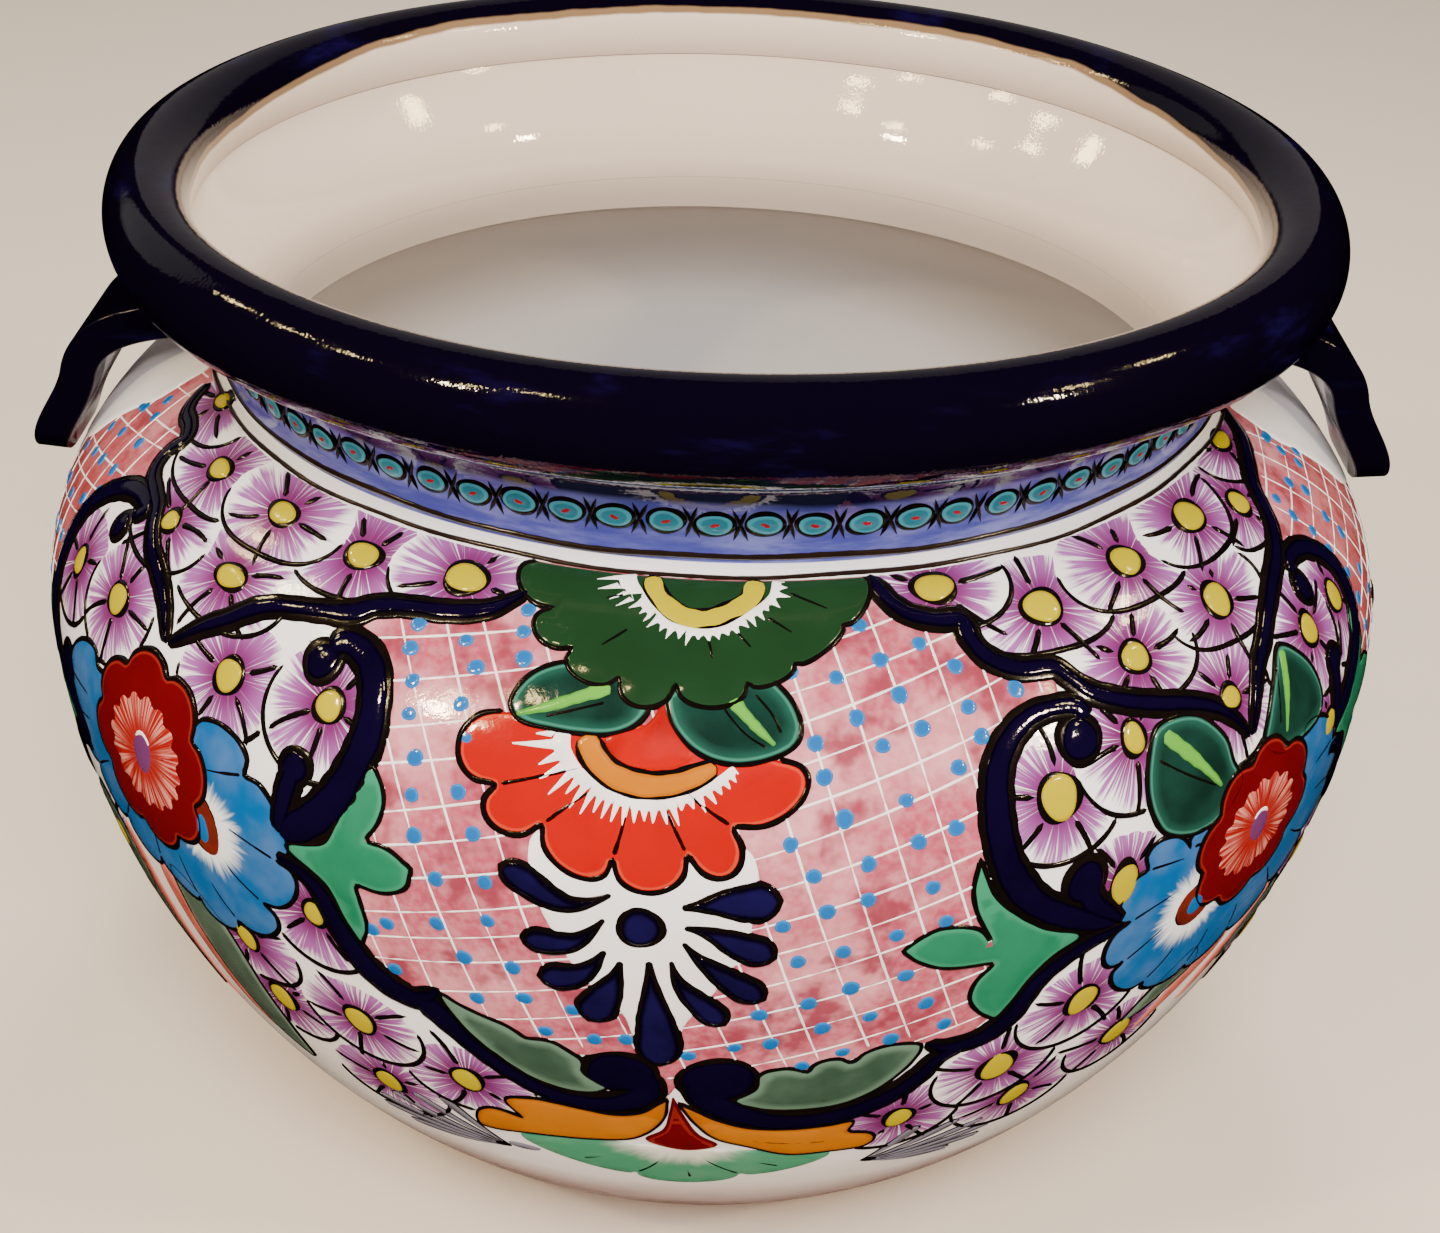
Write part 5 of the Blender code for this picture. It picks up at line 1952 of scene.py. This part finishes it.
# %% Camera
FOCAL = 2200
FRAME_WIDTH = 1440
SENSOR = 36.0
CAMERA_AT = Vector((0.0, -0.68055, 0.56481))
CAMERA_YAW = 0.004497
CAMERA_PITCH = 0.532169
CAMERA_ROLL = 0.0396676


def look_through():
    forward = Vector((math.sin(CAMERA_YAW) * math.cos(CAMERA_PITCH),
                      math.cos(CAMERA_YAW) * math.cos(CAMERA_PITCH), -math.sin(CAMERA_PITCH)))
    right = Vector((math.cos(CAMERA_YAW), -math.sin(CAMERA_YAW), 0.0))
    up = right.cross(forward)
    side = math.cos(CAMERA_ROLL) * right + math.sin(CAMERA_ROLL) * up
    top = -math.sin(CAMERA_ROLL) * right + math.cos(CAMERA_ROLL) * up
    turned = Matrix((side, top, -forward)).transposed().to_4x4()
    lens = bpy.data.cameras.new("camera")
    lens.sensor_width = SENSOR
    lens.lens = FOCAL / FRAME_WIDTH * SENSOR
    camera = bpy.data.objects.new("camera", lens)
    camera.matrix_world = Matrix.Translation(CAMERA_AT) @ turned
    bpy.context.scene.collection.objects.link(camera)
    bpy.context.scene.camera = camera


look_through()
print("the camera is %.2f m from the vase's axis" % CAMERA_AT.xy.length)

# %% [markdown]
# ## Lamps
# Wide lamps give a soft light, and two of them stay out of the mirrors that the
# glaze makes. The small warm ones are there for their highlights: the bulbs hang
# where the inside of the collar mirrors them towards the camera.

# %% Lamps
def lamp(name, place, aim, size, power, colour, mirrored=True):
    light = bpy.data.lights.new(name, "AREA")
    light.shape = "DISK"
    light.size = size
    light.energy = power
    light.color = colour
    holder = bpy.data.objects.new(name, light)
    holder.location = place
    holder.rotation_mode = "QUATERNION"
    holder.rotation_quaternion = (Vector(aim) - Vector(place)).to_track_quat("-Z", "Y")
    holder.visible_glossy = mirrored
    bpy.context.scene.collection.objects.link(holder)


lamp("key", (0.05, -1.0, 1.15), (0, 0, 0.2), 0.5, 26, (1.0, 0.985, 0.97), mirrored=False)
lamp("left_warm", (-1.15, -1.0, 1.45), (0, 0, 0.15), 0.13, 14, (1.0, 0.78, 0.50))
lamp("right_warm", (1.40, -0.85, 1.22), (0, 0, 0.15), 0.13, 14, (1.0, 0.78, 0.50))
lamp("top", (0.2, 0.9, 1.6), (0, 0, 0.2), 0.5, 16, (1.0, 0.96, 0.90), mirrored=False)
lamp("wall_glow", (0.0, 1.5, 1.0), (0, 0, 0.3), 1.7, 1.8, (1.0, 0.92, 0.88))
lamp("left_glow", (-1.3, 0.9, 0.9), (0, 0, 0.3), 0.9, 0.6, (1.0, 0.94, 0.90))
for place in ((1.74, 0.15, 1.75), (1.79, -0.64, 1.75), (-1.17, -1.46, 2.60), (-1.86, -1.56, 2.60),
              (-1.75, -0.43, 1.75), (-1.83, 0.06, 1.75), (-2.00, 0.62, 1.75)):
    away = math.dist(place, (0, 0, 0.3))
    lamp("bulb", place, (0, 0, 0.3), 0.07 * away, 0.8 * away ** 2, (1.0, 0.74, 0.32))
world = bpy.data.worlds.new("studio")
world.use_nodes = True
world.node_tree.nodes["Background"].inputs["Color"].default_value = (0.86, 0.85, 0.84, 1.0)
world.node_tree.nodes["Background"].inputs["Strength"].default_value = 1.0
bpy.context.scene.world = world
world.cycles_visibility.glossy = False
print(len(bpy.data.lights), "lamps")

# %% [markdown]
# ## Floor
# A plain, pale, slightly warm floor catches the shadow and lights the pot's lower
# half from below.

# %% Floor
FLOOR_SIZE = 8.0
bpy.ops.object.select_all(action="DESELECT")
bpy.ops.mesh.primitive_plane_add(size=FLOOR_SIZE)
floor = bpy.context.object
floor.name = "floor"
floor_paint = bpy.data.materials.new("pale_floor")
floor_paint.use_nodes = True
floor_shader = floor_paint.node_tree.nodes["Principled BSDF"]
floor_shader.inputs["Base Color"].default_value = (0.66, 0.57, 0.47, 1.0)
floor_shader.inputs["Roughness"].default_value = 0.45
floor.data.materials.append(floor_paint)
floor.visible_glossy = False
print("floor laid")

# %% [markdown]
# ## Finish
# The finished pot must fill the same space as the clay pieces.
